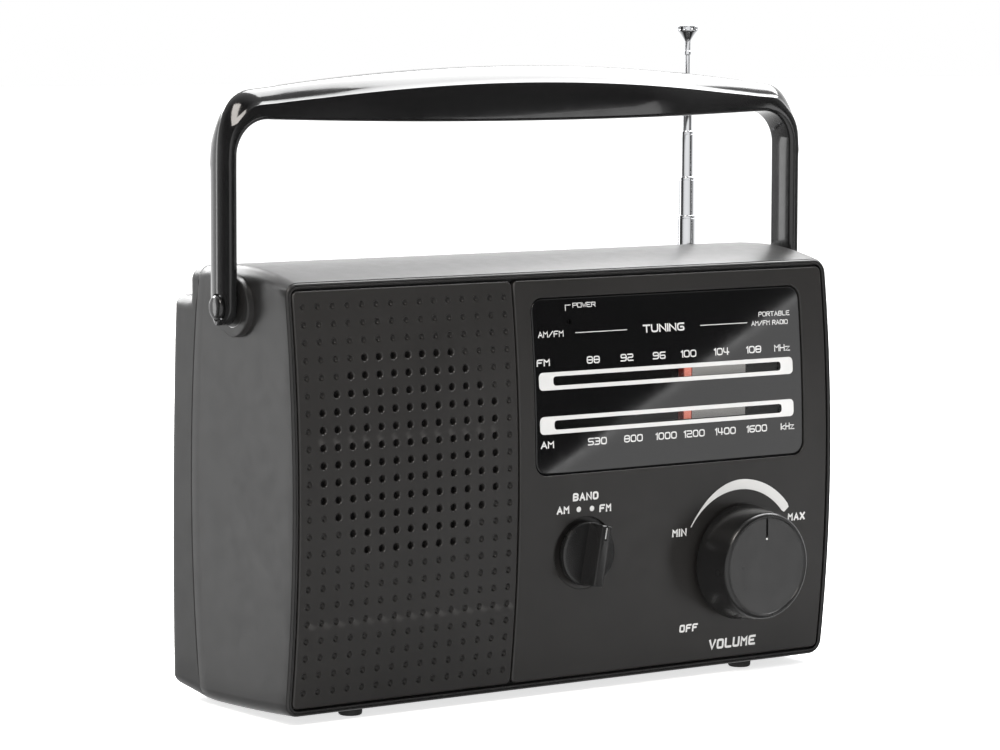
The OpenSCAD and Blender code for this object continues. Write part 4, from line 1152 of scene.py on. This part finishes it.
def lamp(name, place, target, size, power, size_y=None, colour=(1, 1, 1)):
    data = bpy.data.lights.new(name, "AREA")
    data.color = colour
    data.shape = "RECTANGLE"
    data.size, data.size_y = size, size_y or size
    data.energy = power
    obj = bpy.data.objects.new(name, data)
    obj.location = place
    obj.rotation_euler = (Vector(target) - Vector(place)).to_track_quat("-Z", "Y").to_euler()
    obj.visible_camera = False
    scene.collection.objects.link(obj)
    return obj


lamp("high_right", (0.85, 0.35, 1.35), (0, 0, 0.15), 1.2, 42)
lamp("front_left", (-0.8, -0.6, 1.35), (0, 0, 0.1), 0.6, 11, colour=(1, 0.95, 0.9))
lamp("back", (-0.15, 1.6, 0.95), (0, 0, 0.15), 1.5, 26, 0.5)
lamp("left_strip", (-0.95, 1.15, 0.25), (-0.1, 0, 0.1), 0.26, 2.2, 1.1)

floor_mesh = Shape()
n = 24
size = 9000
floor_mesh.add([(mix(-size, size, i / n), mix(-size, size, k / n),
    SOLE_Z) for i in range(n + 1) for k in range(n + 1)],
               [(i * (n + 1) + k, (i + 1) * (n + 1) + k, (i + 1) * (n + 1) + k + 1,
                 i * (n + 1) + k + 1) for i in range(n) for k in range(n)])
floor = make(floor_mesh, "floor")
floor_mat = surface("floor_white", (0.95, 0.95, 0.95), 0.9, vary=0.005, grain=50, bump=0,
    emission=((1, 1, 1), 0.7))
floor.data.materials.append(floor_mat)
floor.visible_glossy = False

# A reflector out in front, on the right, placed by the rays that the dial lens mirrors
CARD_FAR = 1200.0
EYE = Vector((cam.matrix_world.translation.x * 1000, cam.matrix_world.translation.y * 1000 - Y0,
              cam.matrix_world.translation.z * 1000 - Z0))
LENS_MID = Vector((44, 0, 33.6))
aim = math.radians(38.7)
card_dir = Vector((math.sin(aim), -math.cos(aim), 0))


def mirrored(x, z):
    """Where the ray from the camera by way of the lens at (x, z) meets the reflector's plane."""
    p = Vector((x, face_y(z) + LENS_H, z))
    n = Vector((0, p.y - BOW, z)).normalized()
    v = (EYE - p).normalized()
    r = 2 * n.dot(v) * n - v
    return tuple(p + r * (((LENS_MID + card_dir * CARD_FAR) - p).dot(card_dir) / r.dot(card_dir)))


card = Shape()
line = [(mix(-24, 112, k / 10), mix(-2.5, 65.0, k / 10)) for k in range(11)]
normal = Vector((67.5, -136)).normalized()
card_rows = [[mirrored(x + normal.x * d, z + normal.y * d) for d in (0, 1.3, 3.2, 60, 110)] for x, z in line]
card.loft(card_rows, wrap=False)
card.mats = [(1, 2, 0, 0)[k % 4] for k in range(len(card.faces))]
reflector = make(card, "reflector")
for mat in (emitter("card_plain", 1.7), emitter("card_edge", 4.2), emitter("card_soft", 2.2)):
    reflector.data.materials.append(mat)
reflector.visible_camera = False
reflector.visible_shadow = False
